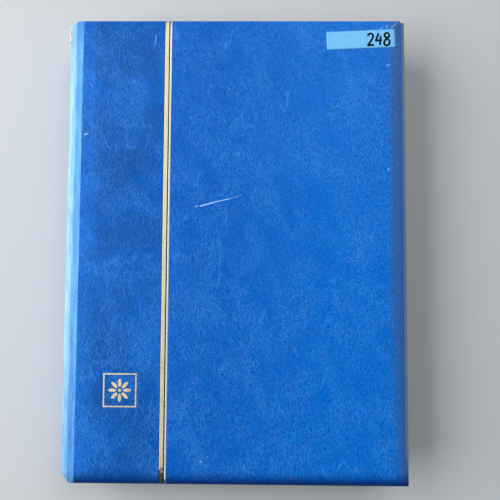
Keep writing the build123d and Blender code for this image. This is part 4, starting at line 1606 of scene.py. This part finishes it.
raised = add_node(
    tree, "GeometryNodeSetPosition", {"Geometry": strip_box.outputs["Mesh"], "Offset": raise_by.outputs[0]}
)
half_run = math_node(tree, "MULTIPLY", math_node(tree, "SUBTRACT", inside.outputs["Strips"], 1), 0.5)
first_y = math_node(tree, "MULTIPLY", math_node(tree, "MULTIPLY", half_run, inside.outputs["Pitch"]), -1)
start = add_node(tree, "ShaderNodeCombineXYZ", {1: first_y})
gap = add_node(tree, "ShaderNodeCombineXYZ", {1: inside.outputs["Pitch"]})
row = add_node(
    tree, "GeometryNodeMeshLine",
    {
        "Count": inside.outputs["Strips"], "Start Location": start.outputs[0], "Offset": gap.outputs[0]
    }, mode="OFFSET",
)
strips = add_node(
    tree, "GeometryNodeInstanceOnPoints", {"Points": row.outputs[0], "Instance": raised.outputs[0]}
)
other_side = add_node(tree, "GeometryNodeTransform", {0: strips.outputs[0], "Rotation": (0.0, math.pi, 0.0)})
both = tree.nodes.new("GeometryNodeJoinGeometry")
tree.links.new(strips.outputs[0], both.inputs[0])
tree.links.new(other_side.outputs[0], both.inputs[0])
real = add_node(tree, "GeometryNodeRealizeInstances", {0: both.outputs[0]})
painted = add_node(
    tree, "GeometryNodeSetMaterial", {0: real.outputs[0], "Material": inside.outputs["Material"]}
)
tree.links.new(painted.outputs[0], outside.inputs[0])

pocket_low, pocket_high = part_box("leaf_09_pockets")
STRIPS = 9
STRIP_GAP = 4.4 * MM
STRIP_PITCH = (pocket_high.y - pocket_low.y + STRIP_GAP) / STRIPS
print("pocket strips every", round(1000 * STRIP_PITCH, 1), "mm")


def make_strips(number, middle):
    """The clear pockets of one leaf, on both sides of its card."""
    values = {"Strips": STRIPS, "Pitch": STRIP_PITCH, "Strip height": STRIP_PITCH - STRIP_GAP}
    values |= {
        "Strip length": pocket_high.x - pocket_low.x, "Material": film_material, "Card surface": CARD / 2
    }
    strips = run_tree(f"leaf_{number:02d}_strips", strip_tree, strip_inputs, values)
    strips.data.transform(Matrix.Translation(((pocket_low.x + pocket_high.x) / 2, 0, middle)))
    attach(strips, f"leaf_{number:02d}_body")
    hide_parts(f"leaf_{number:02d}_pockets")
    return strips


# %% [markdown]
# Glassine is a thin, glossy, milky paper. It is never quite flat: damp has given it slow waves, highest at
# its free edges. Its colour is nearly white and it is half clear, with clouds where its pulp is thicker. Each
# sheet is tipped to its leaf by a line of glue beside the hinge.

# %% Glassine
glassine_material, tree, shader, place = new_material("glassine")
pulp = noise_node(tree, place, 1.6 * MM, 6.0, 0.6)
tree.links.new(
    mix_colours(tree, pulp, (0.66, 0.68, 0.66, 1), (0.86, 0.87, 0.85, 1)), shader.inputs["Base Color"]
)
tree.links.new(step_node(tree, pulp, 0.3, 0.7, 0.40, 0.55), shader.inputs["Alpha"])
tree.links.new(step_node(tree, pulp, 0.35, 0.65, 0.30, 0.45), shader.inputs["Roughness"])
add_bump(tree, shader, pulp, 0.1 * MM)
WAVE = 0.05 * MM


def make_glassine(number):
    """The interleaf that lies on one leaf."""
    low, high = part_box(f"leaf_{number:02d}_interleaf")
    middle = (low.z + high.z) / 2
    x = np.linspace(low.x, high.x, 45)
    y = np.linspace(low.y, high.y, 61)
    grid_x, grid_y = np.meshgrid(x, y)
    freedom = soft_step(grid_x, low.x + 4 * MM, low.x + 60 * MM) * (0.5 + 0.5 * np.abs(grid_y) / high.y)
    wave = np.sin(
        34 * grid_x + 1.7 * number
    ) * np.cos(26 * grid_y + 0.9 * number) + 0.6 * np.sin(70 * grid_y + 2.1 * number)
    z = middle + WAVE * freedom * wave / 1.6 + 0.01 * MM
    sheet = thicken(add_net(f"leaf_{number:02d}_glassine", np.stack([grid_x, grid_y, z], axis=2)), 0.04 * MM)
    sheet.data.materials.append(glassine_material)
    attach(sheet, f"leaf_{number:02d}_body")
    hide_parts(f"leaf_{number:02d}_interleaf")
    return sheet


# %% [markdown]
# All the kinds of piece are ready, so one loop makes the sixteen leaves. The top leaf has no glassine of its
# own, because each sheet lies between two leaves.

# %% Make the leaves
card_outline = round_outline(CARD_LEFT, CARD_RIGHT, CARD_HALF, CARD_CORNER)
for number in range(1, LEAVES + 1):
    middle = leaf_middle(number)
    card = make_plate(
        f"leaf_{number:02d}_card", card_outline, middle - CARD / 2, middle + CARD / 2, card_material,
        0.1 * MM
    )
    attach(card, f"leaf_{number:02d}_body")
    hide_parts(f"leaf_{number:02d}")
    linen = make_linen(number, middle)
    strips = make_strips(number, middle)
    if number > 1:
        make_glassine(number)
tell(card)
tell(linen)
tell(strips)
